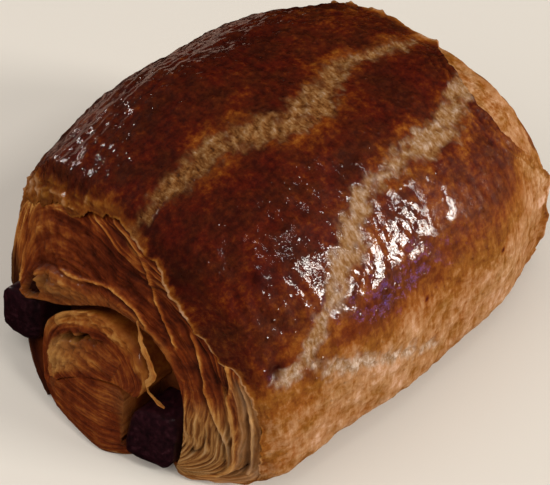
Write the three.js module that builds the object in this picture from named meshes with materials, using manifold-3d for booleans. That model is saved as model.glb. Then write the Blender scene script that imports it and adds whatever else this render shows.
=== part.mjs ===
// A pain au chocolat: one sheet of laminated dough wound round two sticks of chocolate.
// Millimetres. X runs along the roll, Z is up, and the origin is the middle of the base.
// The end at -X is called near, the end at +X far, and the side at +Y left.
import * as THREE from "three";
import Module from "manifold-3d";

// Driving dimensions
const WIDTH = 80; // across the middle of the roll
const HEIGHT = 53.3; // of the section before its base is flattened
const BASE_FLAT = 0.6; // taken off the rounded underside, which gives the flat to rest on
const HALF_ROLL = 47.55; // the length over which the section draws in towards each end
const SIDE_DRAW = 0.195; // share of the width lost at HALF_ROLL
const TOP_DRAW = 0.244; // share of the height lost there
const WAIST = 0.278; // height of the widest line, as a share of the height
const SQUARENESS = 2.756; // superellipse power of the upper half, 2 would be an ellipse
const BASE_SQUARENESS = 3.4; // and of the lower half
const RIM_X = 35; // middle of the roll to the edge of the glazed crust
const REACH_X = 51.5; // middle of the roll to the furthest dough of the near end
const TOE = 2.4; // how much further the near end reaches along the base
const BROW = 3.2; // how much further the near end reaches over the left stick
const TUCK = 4; // how far the dough under the right stick stops short of the near end
const FAR_REACH_X = 51.5; // middle of the roll to the furthest dough of the far end
const FLAKE = 0.55; // how far each leaf of dough stands out from the next, at an end
const CORE_DEPTH = 8; // how far the gaps between the turns open into each end
const GAP = 0.3; // clearance between dough and chocolate

const CHOCOLATE = { width: 8.8, height: 12.4, squareness: 4.6 };
const HALF_STICK = 50; // half the length of a stick
// Middle of each stick where it leaves the near end and the far end, as [y, z].
const RIGHT_STICK = { near: [-15.9, 8.2], far: [-18, 12.6] };
const LEFT_STICK = { near: [22.9, 11], far: [21, 10.6] };

// Fineness of the mesh
const OUTER_STATIONS = 54; // along the outer turn
const FOLD_STATIONS = 41; // along the folded inner end of the sheet
const LEAVES = 12; // rows across the thickness, two for each leaf that shows
const CRUST_ROWS = 25; // along the roll, on the outside
const INSIDE_ROWS = 5; // and on the inside, which is mostly buried

const rad = THREE.MathUtils.degToRad;
const smooth = THREE.MathUtils.smoothstep; // (value, low, high)
const power = (value, p) => Math.sign(value) * Math.abs(value) ** p;
const bump = (value, middle, spread) => Math.exp(-(((value - middle) / spread) ** 2));

// Half width and height of the roll's section at x.
function sectionSize(x) {
  const draw = Math.min(Math.abs(x) / HALF_ROLL, 1) ** 2.6;
  return { half: (WIDTH / 2) * (1 - SIDE_DRAW * draw), top: HEIGHT * (1 - TOP_DRAW * draw) };
}

const RIM = sectionSize(RIM_X);

// A point of the crust in the rim's section, at an angle from the left side over the top.
function outline(angle) {
  const c = Math.cos(rad(angle));
  const s = Math.sin(rad(angle));
  const waist = RIM.top * WAIST;
  const y = RIM.half * power(c, 2 / SQUARENESS);
  const z =
    s > 0
      ? waist + (RIM.top - waist) * s ** (2 / SQUARENESS)
      : waist - waist * Math.abs(s) ** (2 / BASE_SQUARENESS);
  return new THREE.Vector2(y, Math.max(z - BASE_FLAT, 0));
}

// The lip, which is the inner edge of the outer turn, as [angle, y, z] in the rim's section: it
// is thin at its seam under the left stick, and thick over both shoulders.
const LIP = [
  [-80, 9.8, 1.8], [-60, 21, 3.8], [-38, 27.4, 5.6], [-8, 28.6, 11.6], [16, 27.4, 18], [36, 21, 20],
  [52, 14.5, 23.4], [72, 5.5, 28], [92, -2.3, 31.8], [112, -9.4, 32.6], [130, -14.9, 31.4],
  [146, -19.2, 28], [164, -21.7, 22.4], [178, -22.4, 15.6], [202, -22.2, 8], [228, -21.4, 3.6],
];

// The inner end of the sheet, in the rim's section: from where it tucks under the right stick
// it runs left along the base, folds back at the left and lies over itself. Each row is a
// point of the sheet's outer face and the point of its inner face across from it.
const FOLD = [
  [-20.5, 0, -20.2, 2.7],
  [-16, 0, -16, 2.5],
  [-12, 0, -11.4, 3],
  [-10.4, 0, -10.7, 8],
  [-8.8, 0, -10.5, 14],
  [-6.4, 0, -9.6, 17.3],
  [-2.6, 0, -5, 16.2],
  [1.6, 0, 0, 13.5],
  [5.4, 0, 4, 10.1],
  [9.2, 1.4, 6.4, 7.8],
  [12.4, 4.4, 7.4, 7.2],
  [13.9, 8.6, 7.6, 7.6],
  [12.8, 12.6, 7.2, 8.2],
  [10.4, 16.8, 6.4, 9.1],
  [6.6, 21.8, 4.4, 11],
  [1.2, 26.4, 1, 13.8],
  [-4, 28.4, -2.8, 16.4],
  [-8.6, 27.8, -6.2, 18.1],
  [-12.4, 25, -8.8, 18.8],
  [-14.3, 21.6, -10.8, 18.7],
  [-13.4, 18.7, -12.4, 18.1],
];

function lip(angle) {
  const after = Math.max(LIP.findIndex(([a]) => a >= angle), 1);
  const [[from], [to]] = [LIP[after - 1], LIP[after]];
  const share = (after - 1 + (angle - from) / (to - from)) / (LIP.length - 1);
  return new THREE.SplineCurve(LIP.map(([, y, z]) => new THREE.Vector2(y, z))).getPoint(share);
}

// The stations along the sheet, each with a point of its outer and of its inner face.
function windSheet() {
  const [start, end] = [LIP[0][0], LIP.at(-1)[0]];
  const outerTurn = Array.from({ length: OUTER_STATIONS }, (_, i) => {
    const angle = THREE.MathUtils.lerp(start, end, i / (OUTER_STATIONS - 1));
    return { outer: outline(angle), inner: lip(angle), angle, turn: 0 };
  });
  const outer = new THREE.SplineCurve(FOLD.map(([y, z]) => new THREE.Vector2(y, z)));
  const inner = new THREE.SplineCurve(FOLD.map(([, , y, z]) => new THREE.Vector2(y, z)));
  const fold = Array.from({ length: FOLD_STATIONS }, (_, i) => {
    const turn = i / (FOLD_STATIONS - 1);
    const face = outer.getPoint(turn);
    return { outer: face.setY(Math.max(face.y, 0)), inner: inner.getPoint(turn), angle: end, turn };
  });
  return [...outerTurn, ...fold];
}

// How near a point of the section is to the rim: 0 on the roll's axis, 1 on the crust.
function rimShare(y, z) {
  const side = Math.abs((y - 2) / (RIM.half - 2 * Math.sign(y - 2)));
  const up = Math.max(z - 3, 0) / (RIM.top - BASE_FLAT - 3);
  return Math.min((side ** SQUARENESS + up ** SQUARENESS) ** (1 / SQUARENESS), 1);
}

// Both ends are domes: the inner turns reach further out than the rim of the crust.
function nearEnd(y, z) {
  const rim = RIM_X + 2 * (y / RIM.half) ** 2 + 8 * smooth(y, 12, 36) * (1 - smooth(z, 8, 34));
  const share = rimShare(y, z);
  const toe = TOE * bump(z, 0, 9) * smooth(y, -16, -6) * (1 - share ** 3);
  const brow = BROW * bump(y, 23, 6) * bump(z, 19, 4);
  const tuck = TUCK * bump(y, -16, 5) * (1 - smooth(z, 2, 5));
  const dome = (REACH_X - rim) * (1 - share ** (1.6 + 0.9 * Math.exp(-z / 10)));
  return -(rim + dome + toe + brow - tuck);
}

function farEnd(y, z) {
  const rim = RIM_X + 1.5 + 3 * (y / RIM.half) ** 2;
  return rim + (FAR_REACH_X - rim) * (1 - rimShare(y, z) ** 3) ** 0.6;
}

// Sets a point of the rim's section at x, where the roll is wider or narrower.
function place(y, z, x) {
  const size = sectionSize(x);
  const hold = Math.abs(x) > RIM_X ? smooth(rimShare(y, z), 0.45, 0.9) : 1;
  const ky = 1 + (size.half / RIM.half - 1) * hold;
  const kz = 1 + (size.top / RIM.top - 1) * hold;
  return new THREE.Vector3(x, y * ky, z * kz);
}

// The stretch marks where the crust tore open in the oven, as angles at a given x: one along
// the top, one over the right shoulder that drops steeply near the rim, and one low on the side.
const MARKS = [
  (x) => 92 + 1.5 * Math.sin(x / 9),
  (x) => 119.5 - 0.3 * x + 26 * smooth(-x, 6, 30),
  (x) => 179 + 0.75 * x,
];

// Swells of the crust, with the marks sunk into it.
function crustRelief(x, angle) {
  const above = smooth(angle, -30, 10) * (1 - smooth(angle, 200, 225));
  const inside = above * (1 - smooth(Math.abs(x), 30, RIM_X + 8));
  const swell = 0.5 * Math.sin(x / 8.3 + angle / 31) + 0.4 * Math.sin(x / 5.1 - angle / 17 + 1.3);
  const torn = MARKS.reduce((sum, mark) => sum + bump(angle, mark(x), 4.5), 0);
  return inside * (swell - 0.9 * torn);
}

// Relief of an end, outwards: leaf after leaf, the crease over the fold and the hollow that
// opened in the outer turn above the left stick.
function endRelief(station, row) {
  const across = row / LEAVES;
  const leaf = row % 2 ? -FLAKE : FLAKE * (0.6 + 0.4 * Math.sin(station.angle / 9 + 7 * station.turn + row));
  const crease = station.turn > 0 ? 3 * bump(station.turn, 0.68, 0.09) * bump(across, 0.42, 0.06) : 0;
  const hollow = station.turn > 0 ? 0 : 4.5 * bump(station.angle, 36, 9) * bump(across, 0.7, 0.12);
  return leaf - crease - hollow;
}

// The loop of points round the sheet at one station: outside, far end, inside, near end.
function loopAt(station) {
  const { outer, inner } = station;
  const normal = outer.clone().sub(inner).normalize();
  const endPoint = (row, reach, side) => {
    const { x: y, y: z } = outer.clone().lerp(inner, row / LEAVES);
    return place(y, z, reach(y, z) + side * endRelief(station, row));
  };
  const nearX = nearEnd(outer.x, outer.y);
  const farX = farEnd(outer.x, outer.y);
  const loop = [];
  for (let i = 0; i < CRUST_ROWS; i++) {
    const x = THREE.MathUtils.lerp(nearX, farX, i / (CRUST_ROWS - 1));
    const lift = station.turn > 0 ? 0 : crustRelief(x, station.angle);
    loop.push(place(outer.x, outer.y, x).add(new THREE.Vector3(0, normal.x * lift, normal.y * lift)));
  }
  for (let row = 1; row < LEAVES; row++) loop.push(endPoint(row, farEnd, 1));
  const insideFar = farEnd(inner.x, inner.y);
  const insideNear = nearEnd(inner.x, inner.y);
  for (let i = 0; i < INSIDE_ROWS; i++) {
    const x = THREE.MathUtils.lerp(insideFar, insideNear, i / (INSIDE_ROWS - 1));
    loop.push(place(inner.x, inner.y, x));
  }
  for (let row = LEAVES - 1; row > 0; row--) loop.push(endPoint(row, nearEnd, -1));
  return loop;
}

// Skins a row of closed loops and caps the first and the last.
function loft(loops) {
  const count = loops[0].length;
  const positions = loops.flat().flatMap((p) => [p.x, p.y, p.z]);
  const index = [];
  for (let i = 0; i + 1 < loops.length; i++) {
    for (let j = 0; j < count; j++) {
      const a = i * count + j;
      const b = i * count + ((j + 1) % count);
      index.push(a, b, b + count, a, b + count, a + count);
    }
  }
  [0, loops.length - 1].forEach((i) => {
    const middle = loops[i].reduce((sum, p) => sum.add(p), new THREE.Vector3()).divideScalar(count);
    const tip = positions.push(middle.x, middle.y, middle.z) / 3 - 1;
    for (let j = 0; j < count; j++) {
      const edge = [i * count + j, i * count + ((j + 1) % count)];
      index.push(...(i === 0 ? edge.reverse() : edge), tip);
    }
  });
  return { positions, index };
}

// The dough that fills the roll behind the ends, as rings from one end's middle to the other's.
function coreLoops() {
  const RINGS = [0.08, 0.3, 0.5, 0.68, 0.84, 0.93]; // shares of the way out to the crust
  const SIDES = 32;
  const ABOVE_BASE = 1.5;
  const centre = new THREE.Vector2(0, 12);
  const ring = (share, reach, side) =>
    Array.from({ length: SIDES }, (_, k) => {
      const { x: y, y: z } = centre.clone().lerp(outline((360 * k) / SIDES), share);
      const depth = CORE_DEPTH * (1 - 0.55 * smooth(share, 0.6, 0.93));
      return place(y, Math.max(z, ABOVE_BASE), reach(y, z) - side * depth);
    });
  return [
    ...RINGS.map((share) => ring(share, nearEnd, -1)),
    ...RINGS.toReversed().map((share) => ring(share, farEnd, 1)),
  ];
}

// A stick of chocolate: a bar with rounded corners, softened and a little uneven from the oven.
// It lies on the straight line through its near middle, at -HALF_STICK, and its far one. reach
// gives how far each point of its section goes beyond its ring's place.
function stickLoops(middle, reach, grow, halfLength) {
  const SIDES = 18;
  const STEPS = 9;
  const ROUNDED = 0.8; // how far an end is drawn in at its edge
  const ring = (share, inset) => {
    const x = halfLength * (2 * share - 1);
    const along = (x / HALF_STICK + 1) / 2;
    const scale = inset ? 0.88 : 1 + 0.012 * Math.sin(0.09 * x + middle.near[0]);
    return Array.from({ length: SIDES }, (_, k) => {
      const angle = (2 * Math.PI * k) / SIDES;
      const across = power(Math.cos(angle), 2 / CHOCOLATE.squareness) * (CHOCOLATE.width / 2 + grow);
      const up = power(Math.sin(angle), 2 / CHOCOLATE.squareness) * (CHOCOLATE.height / 2 + grow);
      const y = THREE.MathUtils.lerp(middle.near[0], middle.far[0], along) + across * scale;
      const z = THREE.MathUtils.lerp(middle.near[1], middle.far[1], along) + up * scale;
      return new THREE.Vector3(x + reach(share, y, z) + inset, y, z);
    });
  };
  const body = Array.from({ length: STEPS + 1 }, (_, i) => ring(i / STEPS, 0));
  return [ring(0, -ROUNDED), ...body, ring(1, ROUNDED)];
}

const wasm = await Module();
wasm.setup();

function solid({ positions, index }) {
  const vertProperties = new Float32Array(positions);
  const triVerts = new Uint32Array(index);
  const body = new wasm.Manifold(new wasm.Mesh({ numProp: 3, vertProperties, triVerts }));
  if (body.volume() >= 0) return body;
  const flipped = index.map((_, i) => index[i - (i % 3) + (2 - (i % 3))]);
  return solid({ positions, index: flipped });
}

function meshOf(name, body, material) {
  const made = body.getMesh();
  const geometry = new THREE.BufferGeometry();
  geometry.setAttribute("position", new THREE.BufferAttribute(new Float32Array(made.vertProperties), 3));
  geometry.setIndex(new THREE.BufferAttribute(new Uint32Array(made.triVerts), 1));
  geometry.computeVertexNormals();
  const mesh = new THREE.Mesh(geometry, material);
  mesh.name = name;
  return mesh;
}

// The left stick stands out of the near end, broken off aslant, and the right one is set back
// from it. Both show at the far end too. near and far say how far each end goes beyond HALF_STICK.
const STICKS = [
  {
    name: "chocolate_stick_left",
    middle: LEFT_STICK,
    near: (y, z) => 0.4 - 0.28 * (y - LEFT_STICK.near[0]) + 0.12 * (z - LEFT_STICK.near[1]),
    far: -2,
  },
  {
    name: "chocolate_stick_right",
    middle: RIGHT_STICK,
    near: (y, z) => nearEnd(y, Math.max(z, 5)) + HALF_STICK - 0.6 + 0.12 * z,
    far: 3,
  },
];

const dough = new THREE.MeshStandardMaterial({ color: "#7a3d17", roughness: 0.45, metalness: 0 });
const chocolate = new THREE.MeshStandardMaterial({ color: "#21090b", roughness: 0.4, metalness: 0 });

const sheet = solid(loft(windSheet().map(loopAt)));
const core = solid(loft(coreLoops()));
let roll = sheet.add(core);
for (const { middle } of STICKS) {
  roll = roll.subtract(solid(loft(stickLoops(middle, () => 0, GAP, HALF_STICK + 12))));
}

const pastry = new THREE.Group();
pastry.add(meshOf("pastry_roll", roll, dough));
for (const { name, middle, near, far } of STICKS) {
  const reach = (share, y, z) => near(y, z) * (1 - smooth(share, 0, 0.12)) + far * smooth(share, 0.9, 1);
  pastry.add(meshOf(name, solid(loft(stickLoops(middle, reach, 0, HALF_STICK))), chocolate));
}

export default pastry;
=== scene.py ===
# %% [markdown]
# A pain au chocolat, dressed for the camera.
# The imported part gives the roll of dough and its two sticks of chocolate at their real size.
# Here the roll is made again out of the same sheet, fine enough to show leaf on leaf, and every
# surface gets the finish that the oven gave it. Shapes are worked out in millimetres.

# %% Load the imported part
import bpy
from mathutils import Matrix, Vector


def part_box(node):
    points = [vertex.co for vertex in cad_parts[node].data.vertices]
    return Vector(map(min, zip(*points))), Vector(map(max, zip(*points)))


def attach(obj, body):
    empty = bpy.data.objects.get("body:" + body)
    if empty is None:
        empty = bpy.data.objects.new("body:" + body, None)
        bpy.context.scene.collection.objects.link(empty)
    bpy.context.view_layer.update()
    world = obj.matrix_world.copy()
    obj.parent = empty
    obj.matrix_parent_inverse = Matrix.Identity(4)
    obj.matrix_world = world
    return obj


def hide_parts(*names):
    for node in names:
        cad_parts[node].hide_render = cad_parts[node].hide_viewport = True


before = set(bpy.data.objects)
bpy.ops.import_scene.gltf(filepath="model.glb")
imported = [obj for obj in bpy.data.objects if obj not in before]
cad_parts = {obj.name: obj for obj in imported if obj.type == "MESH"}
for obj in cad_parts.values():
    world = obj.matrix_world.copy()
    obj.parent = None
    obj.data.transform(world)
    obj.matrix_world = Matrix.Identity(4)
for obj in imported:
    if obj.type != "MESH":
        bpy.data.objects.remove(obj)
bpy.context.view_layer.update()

from types import SimpleNamespace

import bpy
import numpy as np
from mathutils import Matrix, Vector

MM = 0.001
roll_low, roll_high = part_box("pastry_roll")
print("roll, mm:", [round(side / MM, 1) for side in roll_high - roll_low])

# %% [markdown]
# Camera. The photograph looks down on one corner of the roll, so one end, the top and the right
# side all show. The place comes from fitting the roll's outline, with the lens pointed straight
# at the middle of the frame, so that no shift is needed and other views stay centred.

# %% Camera
PHOTO_WIDTH = 550  # pixels
CAMERA_SPOT = np.array([-97.0, -103.6, 170.9])  # mm
CAMERA_AZIMUTH = -42.43  # degrees
CAMERA_ELEVATION = 48.10
CAMERA_ROLL = -0.39
FOCAL_PIXELS = 1031.6
SENSOR = 36  # mm


def camera_axes():
    """Right, up and back of the camera, as unit vectors."""
    azimuth, elevation, roll = np.radians([CAMERA_AZIMUTH, CAMERA_ELEVATION, CAMERA_ROLL])
    level = np.cos(elevation)
    back = np.array([np.sin(azimuth) * level, -np.cos(azimuth) * level, np.sin(elevation)])
    flat = np.array([np.cos(azimuth), np.sin(azimuth), 0])
    right = flat * np.cos(roll) + np.cross(back, flat) * np.sin(roll)
    return right, np.cross(back, right), back


camera = bpy.data.objects.new("camera", bpy.data.cameras.new("camera"))
bpy.context.scene.collection.objects.link(camera)
bpy.context.scene.camera = camera
camera.data.sensor_width = SENSOR
camera.data.lens = FOCAL_PIXELS / PHOTO_WIDTH * SENSOR
turn = Matrix([list(axis) for axis in camera_axes()]).transposed()
camera.matrix_world = Matrix.Translation(Vector(CAMERA_SPOT * MM)) @ turn.to_4x4()
print("lens, mm:", round(camera.data.lens, 1))

# %% [markdown]
# Helpers. A pastry has no straight line in it, so nearly every shape below is a smooth curve
# plus seeded noise. These are the curves: eased steps, soft bumps, tables read between their
# rows, and a line through points.

# %% Curves


def smooth(value, low, high):
    """0 at low, 1 at high and an eased slope between; low may be the larger one."""
    share = np.clip((value - low) / (high - low), 0, 1)
    return share * share * (3 - 2 * share)


def bump(value, middle, spread):
    """1 at the middle, falling to nothing about two spreads away."""
    return np.exp(-(((value - middle) / spread) ** 2))


def power(value, exponent):
    """A power that keeps the sign."""
    return np.sign(value) * np.abs(value) ** exponent


def mix(low, high, share):
    """What lies at a share of the way from low to high."""
    return low + (high - low) * share


def look_up(table, at):
    """The value at a place, between the rows [place, value] of a table."""
    places, values = np.transpose(table)
    return np.interp(at, places, values)


def spline(points, share):
    """Points of a smooth curve through points, at shares from 0 to 1 of the way along."""
    points = np.asarray(points, float)
    last = len(points) - 1
    place_at = np.clip(share, 0, 1) * last
    at = np.minimum(place_at.astype(int), last - 1)
    w = (place_at - at)[..., None]
    before, start = points[np.maximum(at - 1, 0)], points[at]
    end, after = points[at + 1], points[np.minimum(at + 2, last)]
    slope_in, slope_out = (end - before) / 2, (after - start) / 2
    cubic = (2 * start - 2 * end + slope_in + slope_out) * w**3
    square = (3 * end - 3 * start - 2 * slope_in - slope_out) * w**2
    return cubic + square + slope_in * w + start


steps = smooth(np.array([0.25, 0.5, 0.75]), 0, 1)
print("an eased step at its quarters:", *steps.round(2))

# %% [markdown]
# Noise. A grid of random slopes with eased steps between them gives soft swells. Summed at
# halving sizes it is rough, and folded about zero it gives sharp crests. It is made here with
# numpy instead of in a texture, because it moves real vertices, and the colours can then follow
# the very same bumps.

# %% Noise
NOISE_GRID = 256  # units before the noise repeats
NOISE_GAIN = 1.4  # brings its swings up to about 1
CREST_SHARPNESS = 2.6
CREST_FALL = 1.4


def noise(u, v, seed):
    """Seeded noise from about -1 to 1, with one swell to each unit of u and of v."""
    slopes = np.random.default_rng(seed).uniform(0, 2 * np.pi, (NOISE_GRID, NOISE_GRID))
    u, v = np.broadcast_arrays(np.asarray(u, float), np.asarray(v, float))
    cell_u, cell_v = np.floor(u).astype(int), np.floor(v).astype(int)
    in_u, in_v = u - cell_u, v - cell_v

    def corner(step_u, step_v):
        slope = slopes[(cell_u + step_u) % NOISE_GRID, (cell_v + step_v) % NOISE_GRID]
        return np.cos(slope) * (in_u - step_u) + np.sin(slope) * (in_v - step_v)

    fade_u = in_u**3 * (in_u * (in_u * 6 - 15) + 10)
    fade_v = in_v**3 * (in_v * (in_v * 6 - 15) + 10)
    low = mix(corner(0, 0), corner(1, 0), fade_u)
    high = mix(corner(0, 1), corner(1, 1), fade_u)
    return NOISE_GAIN * mix(low, high, fade_v)


def rough(u, v, seed, octaves=3):
    """Noise at halving sizes, each half as strong."""
    return sum(noise(u * 2**k, v * 2**k, seed + k) / 2**k for k in range(octaves))


def creases(u, v, seed):
    """Sharp crests, up to 1, with wide hollows of 0 between them."""
    return np.clip(1 - CREST_SHARPNESS * np.abs(noise(u, v, seed)), 0, 1) ** CREST_FALL


swings = noise(np.arange(0, 200, 0.3), 0.5, 1)
print("noise swings:", round(swings.min(), 2), "to", round(swings.max(), 2))

# %% [markdown]
# The section. These are the same sizes and rules that the solid is built from: a rounded section
# that draws in towards the ends, the lip that its outer turn ends in, and the inner end of the
# sheet, which folds back over itself between the sticks.

# %% Section of the roll, in mm
WIDTH = 80
HEIGHT = 53.3
BASE_FLAT = 0.6  # taken off below, so that the roll rests on a flat
SQUARENESS = 2.756  # of the section: 2 is an ellipse, and more is squarer
BASE_SQUARENESS = 3.4
WAIST = 0.278  # height of the widest place, as a share of the section's
HALF_ROLL = 47.55  # from the middle to where the section has drawn in fully
SIDE_DRAW = 0.195  # share of the width that it has lost there
TOP_DRAW = 0.244  # share of the height
DRAW_POWER = 2.6
RIM_X = 35  # from the middle to the corner of the crust at the near end

# The lip, as [angle, y, z], and the fold, as [outer y, outer z, inner y, inner z].
LIP = np.array([
    [-80, 9.8, 1.8], [-60, 21, 3.8], [-38, 27.4, 5.6], [-8, 28.6, 11.6], [16, 27.4, 18], [36, 21, 20],
    [52, 14.5, 23.4], [72, 5.5, 28], [92, -2.3, 31.8], [112, -9.4, 32.6], [130, -14.9, 31.4],
    [146, -19.2, 28], [164, -21.7, 22.4], [178, -22.4, 15.6], [202, -22.2, 8], [228, -21.4, 3.6],
])
FOLD = np.array([
    [-20.5, 0, -20.2, 2.7], [-16, 0, -16, 2.5], [-12, 0, -11.4, 3], [-10.4, 0, -10.7, 8],
    [-8.8, 0, -10.5, 14], [-6.4, 0, -9.6, 17.3], [-2.6, 0, -5, 16.2], [1.6, 0, 0, 13.5],
    [5.4, 0, 4, 10.1], [9.2, 1.4, 6.4, 7.8], [12.4, 4.4, 7.4, 7.2], [13.9, 8.6, 7.6, 7.6],
    [12.8, 12.6, 7.2, 8.2], [10.4, 16.8, 6.4, 9.1], [6.6, 21.8, 4.4, 11], [1.2, 26.4, 1, 13.8],
    [-4, 28.4, -2.8, 16.4], [-8.6, 27.8, -6.2, 18.1], [-12.4, 25, -8.8, 18.8],
    [-14.3, 21.6, -10.8, 18.7], [-13.4, 18.7, -12.4, 18.1],
])


def section_size(x):
    """Half width and height of the section at x."""
    draw = np.minimum(np.abs(x) / HALF_ROLL, 1) ** DRAW_POWER
    return WIDTH / 2 * (1 - SIDE_DRAW * draw), HEIGHT * (1 - TOP_DRAW * draw)


RIM_HALF, RIM_TOP = section_size(RIM_X)


def outline(angle):
    """Points of the crust in the rim's section, at angles from the left side over the top."""
    c, s = np.cos(np.radians(angle)), np.sin(np.radians(angle))
    waist = RIM_TOP * WAIST
    above = waist + (RIM_TOP - waist) * np.abs(s) ** (2 / SQUARENESS)
    below = waist - waist * np.abs(s) ** (2 / BASE_SQUARENESS)
    z = np.maximum(np.where(s > 0, above, below) - BASE_FLAT, 0)
    return np.stack([RIM_HALF * power(c, 2 / SQUARENESS), z], -1)


def lip(angle):
    """Points of the inner face of the outer turn, across from the crust at those angles."""
    return spline(LIP[:, 1:], np.interp(angle, LIP[:, 0], np.linspace(0, 1, len(LIP))))


print("section at the rim, mm:", round(2 * RIM_HALF, 1), "wide and", round(RIM_TOP, 1), "high")

# %% [markdown]
# The ends. Each is a dome inside the crust's corner, with its x as a formula of y and z, so the
# same rule places the leaves, the crust's rim and the sticks. Sculpting them would be quicker
# once, but every change of the section would undo it. The near end's corner bows out, and its
# dome has the toe of the fold, the brow of the lip and a tuck beside the right stick.

# %% The two ends, in mm
AXIS_Y, AXIS_Z = 2, 3  # where an end stands out furthest
REACH_X = 51.5  # from the middle to there
BOW = 2  # that the near corner lies further out at the sides than at the top
CHEEK = 8  # that it lies further out low on the left
FAR_RIM_X = RIM_X + 1.5
FAR_BOW = 3
TOE = 2.4  # that the foot of the fold stands out
BROW = 3.2  # that the lip does
TUCK = 4  # that the near end is set back beside the right stick


def rim_share(y, z):
    """0 on the roll's axis and 1 on the crust."""
    side = np.abs((y - AXIS_Y) / (RIM_HALF - AXIS_Y * np.sign(y - AXIS_Y)))
    up = np.maximum(z - AXIS_Z, 0) / (RIM_TOP - BASE_FLAT - AXIS_Z)
    return np.minimum((side**SQUARENESS + up**SQUARENESS) ** (1 / SQUARENESS), 1)


def near_end(y, z):
    """The x of the near end: a dome inside the crust's corner, and what stands out of it."""
    rim = RIM_X + BOW * (y / RIM_HALF) ** 2 + CHEEK * smooth(y, 12, 36) * (1 - smooth(z, 8, 34))
    share = rim_share(y, z)
    toe = TOE * bump(z, 0, 9) * smooth(y, -16, -6) * (1 - share**3)
    brow = BROW * bump(y, 23, 6) * bump(z, 19, 4)
    tuck = TUCK * bump(y, -16, 5) * (1 - smooth(z, 2, 5))
    dome = (REACH_X - rim) * (1 - share ** (1.6 + 0.9 * np.exp(-z / 10)))
    return -(rim + dome + toe + brow - tuck)


def far_end(y, z):
    """The x of the far end, a plainer and flatter dome."""
    rim = FAR_RIM_X + FAR_BOW * (y / RIM_HALF) ** 2
    return rim + (REACH_X - rim) * (1 - rim_share(y, z) ** 3) ** 0.6


def place(y, z, x):
    """Points of the rim's section set at x, where the roll is wider or narrower."""
    half, top = section_size(x)
    hold = np.where(np.abs(x) > RIM_X, smooth(rim_share(y, z), 0.45, 0.9), 1)
    wide = 1 + (half / RIM_HALF - 1) * hold
    high = 1 + (top / RIM_TOP - 1) * hold
    return np.stack(np.broadcast_arrays(x, y * wide, z * high), -1)


on_axis = [float(end(AXIS_Y, AXIS_Z)) for end in (near_end, far_end)]
print("the ends on the axis, mm:", [round(x, 1) for x in on_axis])

# %% [markdown]
# The sheet's path. Dough is rolled up from a flat sheet, so the whole spiral is one list of
# stations: each has a point on the outer face and the point across from it on the inner face.
# The stations are spread evenly by length, closer where the roll shows than under its base.

# %% Stations along the sheet
OUTER_STEPS = 1600  # points on the outer turn, before they are spread evenly
FOLD_STEPS = 1200  # and on the fold


def stations(spacing_at):
    """Stations along the sheet, as columns; spacing_at(angle, turn) gives their spacing in mm."""
    angle = np.linspace(LIP[0, 0], LIP[-1, 0], OUTER_STEPS)
    turn = np.linspace(0, 1, FOLD_STEPS)
    outer = np.vstack([outline(angle), spline(FOLD[:, :2], turn)])
    inner = np.vstack([lip(angle), spline(FOLD[:, 2:], turn)])
    outer[:, 1] = np.maximum(outer[:, 1], 0)
    angle = np.concatenate([angle, np.full(FOLD_STEPS, LIP[-1, 0])])
    turn = np.concatenate([np.zeros(OUTER_STEPS), turn])
    outer_step = np.linalg.norm(np.diff(outer, axis=0), axis=1)
    inner_step = np.linalg.norm(np.diff(inner, axis=0), axis=1)
    along = np.concatenate([[0], np.cumsum((outer_step + inner_step) / 2)])
    skin_mm = np.concatenate([[0], np.cumsum(outer_step)])
    steps = np.concatenate([[0], np.cumsum(np.diff(along) / spacing_at(angle, turn)[1:])])
    at = np.linspace(0, steps[-1], int(steps[-1]) + 1)
    columns = [*outer.T, *inner.T, angle, turn, along, skin_mm]
    names = ["outer_y", "outer_z", "inner_y", "inner_z", "angle", "turn", "along", "skin_mm"]
    return {name: np.interp(at, steps, column)[:, None] for name, column in zip(names, columns)}


def across_sheet(path, share):
    """The y and z of points across the sheet: share 0 is its outer face and 1 its inner face."""
    y = mix(path["outer_y"], path["inner_y"], share)
    z = mix(path["outer_z"], path["inner_z"], share)
    return y, z


every_mm = stations(lambda angle, turn: np.ones(len(angle)))
print("the sheet is", round(every_mm["along"][-1, 0]), "mm long")

# %% [markdown]
# Skinning. Every piece of dough here is a stack of closed loops of points, like the rings on a
# carrot, so one function can turn any of them into a closed mesh. Values that belong to the
# points, such as how dark they baked, go along as attributes for the materials to read.

# %% From loops of points to a piece


def skin(loops):
    """Points and faces of the closed surface over a stack of loops, in mm."""
    count, sides, _ = loops.shape
    index = np.arange(count * sides).reshape(count, sides)
    here, there = index[:-1], index[1:]
    quads = np.stack([here, np.roll(here, -1, 1), np.roll(there, -1, 1), there], -1).reshape(-1, 4)
    tips = count * sides + np.arange(2)
    fans = [
        np.stack([np.roll(index[0], -1), index[0], np.full(sides, tips[0])], -1),
        np.stack([index[-1], np.roll(index[-1], -1), np.full(sides, tips[1])], -1),
    ]
    points = np.vstack([loops.reshape(-1, 3), loops[0].mean(0), loops[-1].mean(0)])
    a, b, c, d = (points[quads[:, k]] for k in range(4))
    volume = np.sum(np.cross(b - a, c - a) * (a + b + c)) + np.sum(np.cross(c - a, d - a) * (a + c + d))
    faces = [face.tolist() for face in (quads, *fans)]
    if volume < 0:
        faces = [[face[::-1] for face in group] for group in faces]
    return points, [face for group in faces for face in group]


box = np.array([[[x, 0, 0], [x, 1, 0], [x, 1, 1], [x, 0, 1]] for x in (0, 1)])
print("two loops of four points make", len(skin(box)[1]), "faces")


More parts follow.
